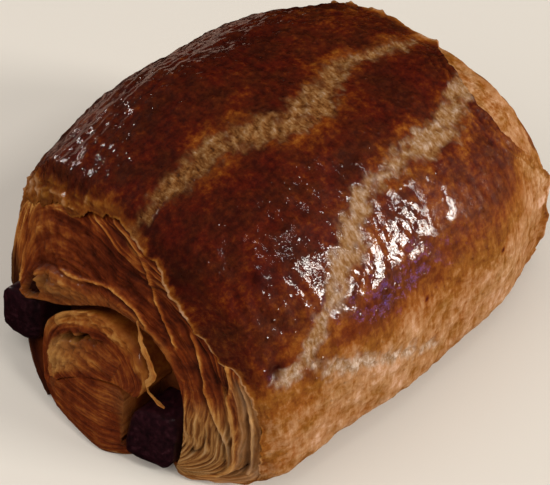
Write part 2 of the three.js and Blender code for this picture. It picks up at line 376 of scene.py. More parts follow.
def add_piece(name, loops, values, material, slot, *nodes):
    """A closed piece over a stack of loops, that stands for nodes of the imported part."""
    points, faces = skin(loops)
    mesh = bpy.data.meshes.new(name)
    mesh.from_pydata(points * MM, [], faces)
    mesh.shade_smooth()
    for key, value in values.items():
        grid = np.broadcast_to(value, loops.shape[:2])
        column = np.concatenate([grid.ravel(), [grid[0].mean(), grid[-1].mean()]])
        mesh.attributes.new(key, "FLOAT", "POINT").data.foreach_set("value", column.astype(np.float32))
    mesh.materials.append(material)
    piece = bpy.data.objects.new(name, mesh)
    bpy.context.scene.collection.objects.link(piece)
    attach(piece, "root")
    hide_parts(*nodes)
    print(name, "faces:", len(faces))


# %% [markdown]
# Materials need three small tools: one turns sRGB colours, as they are read off a screen, to the
# linear light that the renderer counts in, one adds a node, and one starts a new material.
# Their patterns are placed by the mm round and along the roll that each point carries, so that
# fibres and streaks run with the dough and not with the axes.

# %% Material tools
FINE_RELIEF = 0.0002  # m that the finest relief rises, too small for the mesh


def linear(colour):
    """An sRGB colour such as "#4c1808" as linear red, green, blue and alpha."""
    parts = [int(colour[i : i + 2], 16) / 255 for i in (1, 3, 5)]
    return [p / 12.92 if p <= 0.04045 else ((p + 0.055) / 1.055) ** 2.4 for p in parts] + [1]


def node(tree, kind, inputs=None, stops=None, **settings):
    """Adds a node: settings are its own, inputs are values or nodes, stops are a ramp's colours."""
    made = tree.nodes.new(kind)
    for name, value in settings.items():
        setattr(made, name, value)
    for socket, value in (inputs or {}).items():
        if isinstance(value, bpy.types.Node):
            value = next(out for out in value.outputs if out.enabled)
        if isinstance(value, bpy.types.NodeSocket):
            tree.links.new(value, made.inputs[socket])
        else:
            made.inputs[socket].default_value = value
    if stops:
        elements = made.color_ramp.elements
        while len(elements) < len(stops):
            elements.new(0.5)
        for element, (position, colour) in zip(elements, stops):
            element.position = position
            element.color = linear(colour)
    return made


def new_material(name):
    """A material with an empty tree, and its tree."""
    material = bpy.data.materials.new(name)
    material.use_nodes = True
    material.node_tree.nodes.clear()
    return material, material.node_tree


grey_share = linear("#808080")[0]
print("half grey on a screen, as a share of the light:", round(grey_share, 3))

# %% [markdown]
# Egg-washed crust. The dough was brushed with beaten egg, and the oven turned that film into a
# thin brown lacquer over a dry, flaky skin. The eye sees a dark, warm red-brown under a clear
# gloss that breaks up into sparks, because the film dried over fine wrinkles and over tiny
# blisters. Where the crust tore as it rose, there is no egg: dry, pale, fibrous dough with no
# gloss. Low on the sides the brush never reached, so the crust is pale and matt, streaked round
# the roll. One dark colour would do from afar. Close by, the tone has to wander from patch to
# patch, so three noises of different sizes shift it through the baked browns.

# %% Patterns of the crust
WRINKLE = 0.7  # mm between the fine wrinkles of the egg film
FIBRE = 0.5  # mm between fibres of the torn dough, pulled out across the tear
CRUMPLE = 1.6  # mm between crumples of the torn dough
STREAK = 1.1  # mm between the streaks low on the sides
MOTTLE = 1.3  # mm between the specks that baked darker or lighter
PATCH = 7  # mm across a patch that baked darker
DRAWN_OUT = 0.25  # a streak's width as a share of its length
TORN_OUT = 0.4  # the same for a fibre


def crust_patterns(tree, where):
    """Noises over the crust, each as far as it swings from its middle, and the wrinkles."""
    round_roll = node(tree, "ShaderNodeMapping", {"Vector": where, "Scale": (1, DRAWN_OUT, 1)})
    over_tear = node(tree, "ShaderNodeMapping", {"Vector": where, "Scale": (1, TORN_OUT, 1)})
    *swinging, wrinkles = (
        node(tree, "ShaderNodeTexNoise", {
            "Vector": place_at, "Scale": 1 / size, "Detail": detail, "Roughness": 0.7,
        })
        for place_at, size, detail in (
            (where, PATCH, 4), (where, MOTTLE, 5), (round_roll, STREAK, 5), (over_tear, FIBRE, 4),
            (where, CRUMPLE, 4), (where, WRINKLE, 2),
        )
    )
    swings = [
        node(tree, "ShaderNodeMath", {0: pattern, 1: 0.5}, operation="SUBTRACT") for pattern in swinging
    ]
    return *swings, wrinkles


print("patterns of the crust, mm:", FIBRE, "to", PATCH)

# %% [markdown]
# Its colours. Two ramps hold the browns from hardly baked to nearly burnt, a redder one and a
# plainer one that the dark patches lean to. In the tears a third ramp has dry, pale dough. One
# ramp would be simpler, but the crust then looks painted in a single hue.

# %% Colours of the crust
BAKE_STOPS = (0.0, 0.2, 0.4, 0.58, 0.76, 1.0)
REDDER = ("#c69f88", "#a57750", "#864b14", "#672b04", "#4b1103", "#310703")
BROWNER = ("#c4a184", "#a37950", "#815016", "#64320a", "#4a1d06", "#330f04")
DRY = [(0.0, "#3a1c09"), (0.25, "#6b4019"), (0.5, "#876139"), (0.75, "#9f836b"), (1.0, "#c0a999")]


def baked_crust(tree, tone, in_patch):
    """The colour of the whole crust, from how dark it baked."""
    redder, browner = (
        node(tree, "ShaderNodeValToRGB", {"Fac": tone}, list(zip(BAKE_STOPS, colours)))
        for colours in (REDDER, BROWNER)
    )
    return node(tree, "ShaderNodeMix", {"Factor": in_patch, "A": redder, "B": browner}, data_type="RGBA")


darkest = linear(REDDER[-1])[:3]
print("the darkest crust, as shares of the light:", [round(part, 3) for part in darkest])

# %% [markdown]
# Its layers. A matt body takes the colour, and over it lies a smooth coat for the egg film, as
# strong as the glaze that each point carries. Wrinkles and blisters are too small for the mesh,
# so they only bend the light.

# %% Egg-washed crust
BLISTER = 1.7  # mm between the tiny blisters that spark in the light
BLISTER_REACH = 0.36  # how far a blister reaches, as a share of that


def crust_material():
    material, tree = new_material("egg_washed_crust")
    bake, glaze, torn, pale, streaky, blotchy, row, skin_mm = (
        node(tree, "ShaderNodeAttribute", attribute_name=name)
        for name in ("bake", "glaze", "torn", "pale", "streaky", "blotchy", "row_mm", "skin_mm")
    )
    where = node(tree, "ShaderNodeCombineXYZ", {"X": row, "Y": skin_mm})
    patches, mottle, streaks, fibres, crumples, wrinkles = crust_patterns(tree, where)
    mottle = node(tree, "ShaderNodeMath", {0: mottle, 1: blotchy}, operation="MULTIPLY")
    streaks = node(tree, "ShaderNodeMath", {0: streaks, 1: streaky}, operation="MULTIPLY")
    tone = bake
    for pattern, weight in ((patches, 0.6), (mottle, 1.1), (streaks, 0.6)):
        tone = node(tree, "ShaderNodeMath", {0: pattern, 1: weight, 2: tone}, operation="MULTIPLY_ADD")
    in_patch = node(tree, "ShaderNodeMath", {
        0: patches, 1: 4, 2: 0.4,
    }, operation="MULTIPLY_ADD", use_clamp=True)
    dryness = pale
    for pattern, weight in ((fibres, 1.3), (crumples, 1.0)):
        dryness = node(tree, "ShaderNodeMath", {
            0: pattern, 1: weight, 2: dryness,
        }, operation="MULTIPLY_ADD")
    dry = node(tree, "ShaderNodeValToRGB", {"Fac": dryness}, DRY)
    colour = node(tree, "ShaderNodeMix", {
        "Factor": torn, "A": baked_crust(tree, tone, in_patch), "B": dry,
    }, data_type="RGBA")

    # Blisters are small mounds that run out flat, and only rise in the dark patches.
    spots = node(tree, "ShaderNodeTexVoronoi", {"Vector": where, "Scale": 1 / BLISTER})
    domes = node(tree, "ShaderNodeMath", {
        0: spots, 1: -1 / BLISTER_REACH, 2: 1,
    }, operation="MULTIPLY_ADD", use_clamp=True)
    domes = node(tree, "ShaderNodeMath", {0: domes, 1: 2}, operation="POWER")
    domes = node(tree, "ShaderNodeMath", {0: domes, 1: in_patch}, operation="MULTIPLY")
    fibrous = node(tree, "ShaderNodeMath", {0: fibres, 1: torn}, operation="MULTIPLY")
    height = wrinkles
    for pattern, weight in ((fibrous, 3), (domes, 5)):
        height = node(tree, "ShaderNodeMath", {0: pattern, 1: weight, 2: height}, operation="MULTIPLY_ADD")
    relief = node(tree, "ShaderNodeBump", {"Height": height, "Distance": FINE_RELIEF, "Strength": 0.45})
    shader = node(tree, "ShaderNodeBsdfPrincipled", {
        "Base Color": colour, "Normal": relief, "Roughness": 0.6, "Specular IOR Level": 0.1,
        "Coat Weight": glaze, "Coat Normal": relief, "Coat Roughness": 0.035, "Coat IOR": 1.5,
    })
    node(tree, "ShaderNodeOutputMaterial", {"Surface": shader})
    return material


crust_finish = crust_material()
print("crust material, nodes:", len(crust_finish.node_tree.nodes))

# %% [markdown]
# Laminated dough. Butter and dough were folded into each other and baked into dry leaves: cream inside and
# golden where they stood out in the heat. The gaps, creases and hollows between them are painted a
# near-black red-brown, which is painted shade. It is matt, with a faint greasy gloss. The lines of single
# leaves are too fine for the mesh, so a noise that is stretched along the sheet draws them.

# %% Laminated dough
LEAF_LINE = 0.5  # mm between the finest leaves
CRUMB_GRAIN = 0.8  # mm across a grain of the baked surface
PUDDLE = 4.5  # mm across a patch where butter pooled
LEAF_STRETCH = 0.06  # a leaf line's width as a share of its length
BAKED = [(0.0, "#bf8541"), (0.25, "#935017"), (0.5, "#6b2906"), (0.75, "#491402"), (1.0, "#250701")]
INNER = [(0.0, "#45230a"), (0.3, "#79491d"), (0.65, "#a47843"), (1.0, "#c4a078")]
GAP_SHADE = "#260b04"


def dough_material():
    material, tree = new_material("laminated_dough")
    toast, cream, crest, painted_gap_shade, plain, across, along, row = (
        node(tree, "ShaderNodeAttribute", attribute_name=name)
        for name in ("toast", "cream", "crest", "painted_gap_shade", "plain", "across_mm", "along_mm", "row_mm")
    )
    where = node(tree, "ShaderNodeCombineXYZ", {"X": across, "Y": along, "Z": row})
    with_leaves = node(tree, "ShaderNodeMapping", {
        "Vector": where, "Scale": (1, LEAF_STRETCH, LEAF_STRETCH),
    })
    lines, puddles, grain = (
        node(tree, "ShaderNodeTexNoise", {
            "Vector": place_at, "Scale": 1 / size, "Detail": 4, "Roughness": 0.6,
        })
        for place_at, size in ((with_leaves, LEAF_LINE), (where, PUDDLE), (where, CRUMB_GRAIN))
    )
    lines, puddles, grain = (
        node(tree, "ShaderNodeMath", {0: pattern, 1: 0.5}, operation="SUBTRACT")
        for pattern in (lines, puddles, grain)
    )

    # Thin pale lines where the noise crosses zero; both fade where the leaves baked together.
    open_leaves = node(tree, "ShaderNodeMath", {0: plain, 1: -0.7, 2: 1}, operation="MULTIPLY_ADD")
    flat = node(tree, "ShaderNodeMath", {0: lines}, operation="ABSOLUTE")
    thin = node(tree, "ShaderNodeMath", {
        0: flat, 1: -12, 2: 1,
    }, operation="MULTIPLY_ADD", use_clamp=True)
    thin, lines = (
        node(tree, "ShaderNodeMath", {0: pattern, 1: open_leaves}, operation="MULTIPLY")
        for pattern in (thin, lines)
    )
    tone = toast
    for pattern, weight in ((lines, 0.5), (thin, -0.22), (puddles, 0.6), (grain, 0.35)):
        tone = node(tree, "ShaderNodeMath", {0: pattern, 1: weight, 2: tone}, operation="MULTIPLY_ADD")
    baked = node(tree, "ShaderNodeValToRGB", {"Fac": tone}, BAKED)
    pallor = node(tree, "ShaderNodeMath", {0: lines, 1: 0.8, 2: crest}, operation="MULTIPLY_ADD")
    inner = node(tree, "ShaderNodeValToRGB", {"Fac": pallor}, INNER)
    leaves = node(tree, "ShaderNodeMix", {"Factor": cream, "A": baked, "B": inner}, data_type="RGBA")
    # The dark colour in the gaps, creases, hollows and the hole is painted shade.
    colour = node(tree, "ShaderNodeMix", {
        "Factor": painted_gap_shade, "A": leaves, "B": linear(GAP_SHADE),
    }, data_type="RGBA")
    height = node(tree, "ShaderNodeMath", {0: grain, 1: 1.2, 2: lines}, operation="MULTIPLY_ADD")
    relief = node(tree, "ShaderNodeBump", {"Height": height, "Distance": FINE_RELIEF, "Strength": 0.6})
    shader = node(tree, "ShaderNodeBsdfPrincipled", {
        "Base Color": colour, "Normal": relief, "Roughness": 0.55, "Specular IOR Level": 0.1,
        "Coat Weight": 0.12, "Coat Roughness": 0.12,
    })
    node(tree, "ShaderNodeOutputMaterial", {"Surface": shader})
    return material


dough_finish = dough_material()
print("dough material, nodes:", len(dough_finish.node_tree.nodes))

# %% [markdown]
# Dark chocolate. The sticks are bake-stable chocolate: almost black with a purple cast, softened
# and set again, so they are smooth with a dull gloss, a little dusty where flakes rubbed off.
# It is one material all through, so a single noise in object space gives its mottling.

# %% Dark chocolate
COCOA_GRAIN = 1.1  # mm across the faint mottling of chocolate that melted and set again


def chocolate_material():
    material, tree = new_material("dark_chocolate")
    where = node(tree, "ShaderNodeTexCoord")
    grain = node(tree, "ShaderNodeTexNoise", {
        "Vector": where.outputs["Object"], "Scale": 1 / (COCOA_GRAIN * MM), "Detail": 4,
    })
    colour = node(tree, "ShaderNodeValToRGB", {"Fac": grain}, [
        (0.3, "#16070c"), (0.55, "#260b12"), (0.8, "#3c1a22"),
    ])
    relief = node(tree, "ShaderNodeBump", {"Height": grain, "Distance": FINE_RELIEF, "Strength": 0.5})
    shader = node(tree, "ShaderNodeBsdfPrincipled", {
        "Base Color": colour, "Normal": relief, "Roughness": 0.32, "IOR": 1.46,
    })
    node(tree, "ShaderNodeOutputMaterial", {"Surface": shader})
    return material


chocolate_finish = chocolate_material()
print("chocolate material, nodes:", len(chocolate_finish.node_tree.nodes))

# %% [markdown]
# Stretch marks. As the roll swelled, its crust tore open along three lines: one along the top,
# one over the right shoulder that turns down towards the near end, and one low on the side.
# Cutting them into the mesh would give clean edges, but these are ragged, with flecks of bare
# dough beside them. So each is a line with a half width, and a point's distance inside it, with
# noise added, says how torn the crust is there.

# %% Stretch marks
MARK_STEPS = 70  # discs along each line, which together make its shape
FAR_OUTSIDE = -20.0  # mm

# Each: how pale the dough is at its first and last point, and its points as [x mm, angle, half
# width mm].
MARKS = [
    ((0.27, 0.4), [
        [-36, 91.2, 0.9], [-29, 91.4, 1.7], [-23, 91, 2.1], [-18, 91.1, 2.6], [-13.5, 91.9, 2.4],
        [-9.5, 93.4, 2.3], [-5, 95.4, 2.7], [0.5, 94.5, 3.1], [6, 92.4, 2.4], [11, 90.5, 2],
        [15, 90.1, 1.7], [20.5, 90.6, 1.3], [26, 91, 1], [32, 91.4, 0.6],
    ]),
    ((0.5, 0.6), [
        [29.5, 110, 1.8], [26, 112, 2.2], [21.5, 115.5, 2.5], [15, 119, 2.4], [9, 118.5, 1.9],
        [4.5, 119, 1.3], [-4, 120.5, 1.3], [-8, 124, 1.5], [-12, 131, 2.2], [-18.5, 138, 1.6],
        [-24.5, 147, 1.5], [-28, 154, 1.4],
    ]),
    ((0.64, 0.78), [
        [-33, 154.5, 1], [-28, 155, 1.5], [-22.2, 162, 1.3], [-14.8, 169.5, 1.2], [-5, 176, 1.1],
        [2, 179.5, 0.5],
    ]),
]


def stretch_marks(x, skin_mm, skin_at):
    """How torn the crust is, how pale the dough there, and how near a tear's edge; skin_at turns
    an angle into mm."""
    inside = np.full(np.shape(x), FAR_OUTSIDE)
    pale = np.full(np.shape(x), 0.5)
    along = np.linspace(0, 1, MARK_STEPS)
    for (first, last), points in MARKS:
        for share, (px, angle, half_width) in zip(along, spline(points, along)):
            reach = half_width - np.hypot(x - px, skin_mm - skin_at(angle))
            pale = np.where(reach > inside, mix(first, last, share), pale)
            inside = np.maximum(inside, reach)
    ragged = 1.5 * rough(x / 5, skin_mm / 5, 11) + 0.9 * rough(x / 1.5, skin_mm / 1.5, 17)
    inside = inside + ragged
    return smooth(inside, -1, 1.1), pale, bump(inside, -1.3, 1.7)


print("stretch marks:", len(MARKS))

# %% [markdown]
# The glazed crust is the outermost leaf of the sheet, baked hard. It is a thin shell from the
# seam under the roll, round the left side, over the top and back under the base. At the far end
# it stops at the corner, and at the near end it wraps over the corner and ends on the face.
# Both rims are free edges, paper thin, that lift a little from the leaves below. A grid of rows
# from rim to rim, bent round that corner and smoothed there, makes it in one piece.

# %% Rows of the crust
CRUST_ROWS = 200
CRUST_SPACING = 0.37  # mm between stations where they show
HIDDEN_SPACING = 1.4  # mm under the roll
CRUST_END_Y = 5.5  # mm: how far the crust runs on under the base
EDGE_ROWS = np.array([0, 0.12, 0.28, 0.5, 0.8, 1.2, 1.7])  # mm in from a rim


def crust_spacing(angle, turn):
    seen = smooth(angle, -40, -15) * (1 - smooth(angle, 205, 220))
    return mix(HIDDEN_SPACING, CRUST_SPACING, seen)


def rim_rows(near, far):
    """Places from the near rim to the far one, close together at both rims."""
    middle = np.linspace(0, 1, CRUST_ROWS - 2 * len(EDGE_ROWS) + 2)[None, 1:-1]
    low, high = near + EDGE_ROWS[-1], far - EDGE_ROWS[-1]
    return np.hstack([near + EDGE_ROWS, mix(low, high, middle), far - EDGE_ROWS[::-1]])


def resample(wanted, known, values):
    """Each row's values, known at some places, at the wanted places."""
    rows = zip(wanted, known, values)
    return np.array([[np.interp(w, k, column) for column in v.T] for w, k, v in rows]).transpose(0, 2, 1)


row_gaps = np.diff(rim_rows(np.array([[0.0]]), np.array([[80.0]])))
print("over 80 mm the rows lie", round(row_gaps.min(), 2), "to", round(row_gaps.max(), 2), "mm apart")

# %% [markdown]
# The bend. Each row of the crust starts on the face of the near end, climbs over the corner and
# runs to the far rim. Its points are spread evenly by length. Then those near the corner move
# towards the middle of their two neighbours, again and again, which rounds it as soft dough
# would. A bevel could do that too, but this fades out softly to both sides.

# %% The crust's sheet
OVER_END = 40  # points of each row on the near end's face
BODY_STEPS = 240  # points of each row from there to the far rim
ROUNDING = 40  # passes that round the corner between the crust's top and the near end
CORNER_REACH = 4  # mm to each side of it

# How far the crust wraps over the near end, as [angle, share of the sheet's thickness].
COVER = [
    [-80, 0.02], [0, 0.03], [14, 0.07], [32, 0.25], [48, 0.29], [61, 0.26], [69, 0.31], [78, 0.27],
    [85, 0.2], [90, 0.13], [96, 0.18], [102, 0.23], [109, 0.32], [115, 0.38], [122, 0.42],
    [130, 0.42], [142, 0.37], [148, 0.22], [157, 0.12], [181, 0.08], [228, 0.04],
]


def crust_sheet():
    """The crust's stations, its outer face as a grid of points, and their mm from rim to rim."""
    path = stations(crust_spacing)
    keep = (path["turn"] == 0) | (path["outer_y"] < CRUST_END_Y) & (path["turn"] < 0.5)
    path = {name: column[keep[:, 0]] for name, column in path.items()}
    y, z, angle, skin_mm = (path[name] for name in ("outer_y", "outer_z", "angle", "skin_mm"))
    folded = 0.05 * noise(skin_mm / 7, 0.5, 23) * smooth(angle, 14, 30) * (angle < 88)
    ragged = 0.035 * noise(skin_mm / 6, 0.5, 21) + 0.03 * rough(skin_mm / 1.8, 0.5, 22) + folded
    share = np.maximum(look_up(COVER, angle) + ragged, 0.02) * np.linspace(1, 0, OVER_END)[None, :-1]
    end_y, end_z = across_sheet(path, share)
    near = near_end(y, z)
    far = far_end(y, z) + 0.5 * noise(skin_mm / 8, 0.5, 25) + 0.3 * rough(skin_mm / 2.5, 0.5, 26)
    body_x = mix(near, far, np.linspace(0, 1, BODY_STEPS)[None])
    line = np.hstack([place(end_y, end_z, near_end(end_y, end_z)), place(y, z, body_x)])
    steps = np.linalg.norm(np.diff(line, axis=1), axis=-1)
    length = np.hstack([0 * y, np.cumsum(steps, axis=1)])
    row_mm = length - length[:, OVER_END - 1 : OVER_END] + near
    even = mix(row_mm[:, :1], row_mm[:, -1:], np.linspace(0, 1, CRUST_ROWS)[None])
    points = resample(even, row_mm, line)
    corner = bump(even, near, CORNER_REACH)[:, 1:-1, None]
    for _ in range(ROUNDING):
        between = (points[:, :-2] + 2 * points[:, 1:-1] + points[:, 2:]) / 4
        points[:, 1:-1] = mix(points[:, 1:-1], between, corner)
    rows = rim_rows(even[:, :1], even[:, -1:])
    return path, resample(rows, even, points), rows


crust_path, crust_points, crust_rows = crust_sheet()
print("crust:", len(crust_points), "stations of", CRUST_ROWS, "rows")

# %% [markdown]
# What the oven did to the crust is worked out point by point, in three steps. The first is
# where things are, as shares from 0 to 1: tears, the golden rims, the skin that gathered into
# small folds at the left of the near end, and the pale leaf that lies bare where the crust broke
# off at the far end. Masks could be painted by hand too, but rules stay sharp at any size.

# %% Places on the crust
# How far in from the near rim the crust stayed golden, as [angle, mm].
GOLDEN_MARGIN = [
    [-80, 3], [-20, 10], [8, 12], [30, 10], [55, 6], [85, 5], [97, 1.3], [228, 1.3],
]

# Where the crust broke off at the far end, as [angle, x mm].
BROKEN_RIM = [
    [60, 60], [88, 42], [96, 34.5], [101, 32], [110, 29.5], [119, 28.5], [127, 29], [134, 30.6],
    [143, 34.5], [152, 38.5], [166, 42], [176, 60],
]


def crust_places(path, points, rows):
    """What each point of the crust is part of, from 0 to 1, and its mm from the rims."""
    x, angle, skin_mm = points[..., 0], path["angle"], path["skin_mm"] + 0 * rows

    def skin_at(at):
        return np.interp(at, angle[:, 0], skin_mm[:, 0])

    above = smooth(angle, -30, 10) * (1 - smooth(angle, 200, 225))
    torn, pale, beside = stretch_marks(x, skin_mm, skin_at)
    torn = torn * above * (1 - 0.65 * smooth(rough(x / 4, skin_mm / 4, 67, 2), 0.25, 0.7))
    beside = beside * smooth(noise(x / 8, skin_mm / 8, 69), -0.35, 0.35)
    from_near, from_far = rows - rows[:, :1], rows[:, -1:] - rows
    margin = look_up(GOLDEN_MARGIN, angle)
    golden = 1 - smooth(from_near + 1.2 * rough(x / 3, skin_mm / 3, 57), 0.45 * margin, margin)
    golden = np.maximum(golden, 1 - smooth(from_far + 0.8 * rough(x / 3, skin_mm / 3, 58), 0.6, 2.4))
    past_rim = x - look_up(BROKEN_RIM, angle) - 0.5 * rough(skin_mm / 2.5, 0.5, 62)
    flap = smooth(past_rim, -0.15, 0.25)
    return SimpleNamespace(
        x=x, angle=angle, skin_mm=skin_mm, skin_at=skin_at, above=above, torn=torn * (1 - flap),
        pale=pale, beside=beside, from_near=from_near, rim_gap=np.minimum(from_near, from_far),
        golden=golden, gathered=smooth(angle, 8, 20) * (1 - smooth(angle, 78, 90)),
        past_rim=past_rim, flap=flap,
    )


crust_at = crust_places(crust_path, crust_points, crust_rows)
print("torn share of the crust:", round(float(crust_at.torn.mean()), 3))

# %% [markdown]
# The second step is the relief: broad swells from the proving, pebbles where it blistered,
# crumpled dough in the tears, gathers, free rims that lift, and a few small burnt spots, some
# raised and some sunk. Each is a height in mm along the surface's own direction, so they add up.

# %% Relief of the crust, in mm
SWELL, CROSS_SWELL = 0.45, 0.4
PEBBLES = 0.28
CRUMPLES = 0.4
PUCKERS = 0.5
LIFT = 0.8  # of a free rim from the leaves
TEAR_DEPTH = 0.45
BROKEN_DEPTH = 0.7
BROKEN_EDGE = 0.35  # that the broken rim stands up

# Small burnt spots, as [x mm, angle, radius mm, depth mm].
BURNT_SPOTS = [
    [-33, 151, 1.2, 1.1], [-27.5, 123, 1.3, -0.4], [27, 76.5, 0.7, 0.2], [2.5, 70, 0.5, 0.2],
    [25, 130.5, 0.5, 0.2], [26.5, 122, 0.5, 0.2], [-24, 128, 0.6, 0], [-1, 163, 0.45, 0.1],
    [19, 165, 0.45, 0.1],
]


def crust_relief(at, rows):
    """Relief of the crust, and the forms in it that also change how it baked."""
    x, angle, skin_mm = at.x, at.angle, at.skin_mm
    swell = SWELL * np.sin(x / 8.3 + angle / 31) + CROSS_SWELL * np.sin(x / 5.1 - angle / 17 + 1.3)
    swell = swell * (1 - smooth(np.abs(x), 30, RIM_X + 8))
    pebbles = PEBBLES * noise(x / 2.4, skin_mm / 3.6, 31) + 0.11 * rough(x / 1.3, skin_mm / 1.8, 35, 2)
    crumples = CRUMPLES * creases(x / 2.1, skin_mm / 2.8, 41) + 0.22 * rough(x / 1.6, skin_mm / 1.6, 43)
    puckers = PUCKERS * creases(rows / 1.4, skin_mm / 6, 47)
    puckers = puckers + 0.4 * rough(rows / 1.8, skin_mm / 2.2, 50, 2)
    gathers = puckers * at.golden * at.gathered * smooth(at.from_near, 0, 2)
    rolled = bump(at.from_near, 1.6, 1.1) * at.gathered * (0.45 + 0.5 * noise(skin_mm / 3.4, 0.5, 48))
    free = smooth(noise(skin_mm / 9, 0.5, 45), -0.5, 0.4) * np.maximum(1 - at.rim_gap / 2.4, 0) ** 2
    lifted = LIFT * free * (1 - 0.8 * at.gathered)
    parallel = creases((at.past_rim + 0.5 * noise(x / 6, skin_mm / 6, 64)) / 1.1, skin_mm / 12, 63)
    parallel = parallel * bump(at.past_rim, -2.5, 3.2) * (1 - at.flap) * smooth(angle, 92, 100)
    shoulder = smooth(angle, 15, 35) * (1 - smooth(angle, 70, 86))
    relief = 0.18 * creases(x / 9, skin_mm / 2.4, 70) * shoulder
    relief = relief + swell + pebbles - TEAR_DEPTH * at.torn + crumples * at.torn
    relief = relief + gathers + rolled + lifted - BROKEN_DEPTH * at.flap
    relief = relief + BROKEN_EDGE * bump(at.past_rim, -0.6, 0.6) * (1 - at.flap) + 0.3 * parallel
    char, ragged = np.zeros(x.shape), 0.2 * rough(x, skin_mm, 49)
    for px, spot_angle, radius, depth in BURNT_SPOTS:
        spot = bump(np.hypot(x - px, skin_mm - at.skin_at(spot_angle)) + ragged, 0, radius)
        char = np.maximum(char, spot)
        relief = relief - depth * spot
    forms = SimpleNamespace(
        pebbles=pebbles, crumples=crumples, gathers=gathers, parallel=parallel, char=char,
    )
    return relief * at.above, forms


relief_mm, crust_forms = crust_relief(crust_at, crust_rows)
print("crust relief, mm:", round(relief_mm.min(), 2), "to", round(relief_mm.max(), 2))

# %% [markdown]
# The third step is the colour. The crust baked darkest over the top and stayed golden low on the
# sides and along the rims. What stands out is paler than the hollows, where the egg wash
# pooled. The wash shines only where the brush went, and on the right of the far half it dried
# dull but for a few patches.

# %% Baking and egg wash of the crust
PALE_FROM_X = -5  # mm: from here the pale side climbs towards the far end
PALE_CLIMB = 0.38  # degrees for each mm

# How dark it baked on either side of the top, as [angle, 0 pale to 1 dark].
RIGHT_BAKE = [
    [90, 0.88], [108, 0.87], [122, 0.8], [135, 0.72], [150, 0.66], [156, 0.59], [162, 0.43],
    [168, 0.35], [178, 0.27], [192, 0.27], [215, 0.42],
]
LEFT_BAKE = [
    [-60, 0.42], [-30, 0.3], [-5, 0.28], [6, 0.35], [18, 0.5], [30, 0.62], [45, 0.74], [65, 0.84],
    [90, 0.88],
]


def crust_values(at, forms, rows):
    """How dark each point baked, where the egg wash shines, and what else the material reads."""
    x, angle, skin_mm = at.x, at.angle, at.skin_mm
    climb = PALE_CLIMB * smooth(angle, 100, 125) * mix(1, 0.45, smooth(angle, 138, 152))
    turned = angle + climb * np.maximum(x - PALE_FROM_X, 0)
    turned = turned + 10 * smooth(x, 24, 33) * smooth(angle, 125, 145)
    bake = np.where(angle > 90, look_up(RIGHT_BAKE, turned), look_up(LEFT_BAKE, angle))
    bake = bake + 0.1 * rough(x / 14, skin_mm / 14, 51) - 0.25 * forms.pebbles
    bake = bake - 0.1 * smooth(x, 5, 20) * bump(angle, 78, 14)
    flecks = 0.3 * at.beside * (1 - at.torn) * bake
    bake = mix(bake, 0.5 - 0.6 * forms.gathers, 0.85 * at.golden) - flecks
    thin_edge = smooth(at.rim_gap, 0.6, 0.2) * mix(0.35, 1, smooth(noise(skin_mm / 5, 0.5, 60), -0.3, 0.3))
    bake = mix(bake, 0.2, thin_edge * (1 - 0.6 * at.gathered)) + 0.6 * forms.char
    bake = mix(bake, 0.3 + 0.12 * noise(x / 4, skin_mm / 4, 65), at.flap) - 0.25 * forms.parallel
    # Low on the left by the near rim the crust is painted nearly black as painted shade.
    bake = mix(bake, 1, smooth(angle, 12, 2) * (1 - smooth(at.from_near, 2, 7)))

    washed = smooth(angle, 10, 32) * (1 - smooth(turned + 6 * noise(x / 6, skin_mm / 6, 55), 150, 172))
    patchy = smooth(noise(x / 2.6, skin_mm / 2.6, 66), 0.1, 0.35) * (1 - smooth(x, 9, 12))
    dull = 0.97 * smooth(x, 0, 6) * smooth(angle, 100, 110) * (1 - 0.9 * patchy)
    bare = (1 - at.torn) * (1 - 0.35 * at.golden) * (1 - 0.7 * forms.char) * (1 - at.flap)
    side = np.maximum(smooth(turned, 140, 165), smooth(angle, 35, 5))
    blotchy = np.minimum(mix(1, 0.5, at.golden), mix(1, 0.5, smooth(turned, 135, 160)))
    return {
        "bake": np.clip(bake, 0, 1), "glaze": np.clip(washed * bare * (1 - dull), 0, 1),
        "torn": at.torn, "pale": at.pale + 0.5 * (forms.crumples - 0.1),
        "streaky": mix(0.15, 1, side), "blotchy": blotchy * mix(0.5, 1, smooth(angle, 5, 35)),
        "row_mm": rows, "skin_mm": skin_mm,
    }


crust_look = crust_values(crust_at, crust_forms, crust_rows)
print("crust bake, middle:", round(float(np.median(crust_look["bake"])), 2))

# %% [markdown]
# The shell. The relief moves the crust's face along its own normals, and the same face moved
# back by the crust's thickness is the underside. That thins towards both rims, and because it
# lies hidden it has only every ninth row.

# %% Glazed crust
CRUST_THICKNESS = 0.8  # mm
EDGE_THICKNESS = 0.3
UNDER_STEP = 9
MIDDLE_Z = 18  # mm up to the roll's middle, from where outward is counted


def surface_normals(grid):
    """Unit normals of a grid of points, facing away from the roll's middle."""
    normals = np.cross(np.gradient(grid, axis=0), np.gradient(grid, axis=1))
    normals /= np.linalg.norm(normals, axis=-1, keepdims=True) + 1e-12
    outward = grid - np.array([0, 0, MIDDLE_Z])
    return normals * np.sign(np.sum(normals * outward))


def make_crust():
    normals = surface_normals(crust_points)
    face = crust_points + normals * relief_mm[..., None]
    thick = mix(EDGE_THICKNESS, CRUST_THICKNESS, smooth(crust_at.rim_gap, 0, 2.5))
    last = CRUST_ROWS - 1
    back = np.concatenate([[last, last - 2, last - 5], np.arange(last - 9, 9, -UNDER_STEP), [5, 2, 0]])
    under = (face - normals * thick[..., None])[:, back]
    values = {key: np.hstack([value, value[:, back]]) for key, value in crust_look.items()}
    values["glaze"][:, CRUST_ROWS:] = 0
    loops = np.hstack([face, under])
    add_piece("glazed_crust", loops, values, crust_finish, "egg_washed_crust", "pastry_roll")


make_crust()

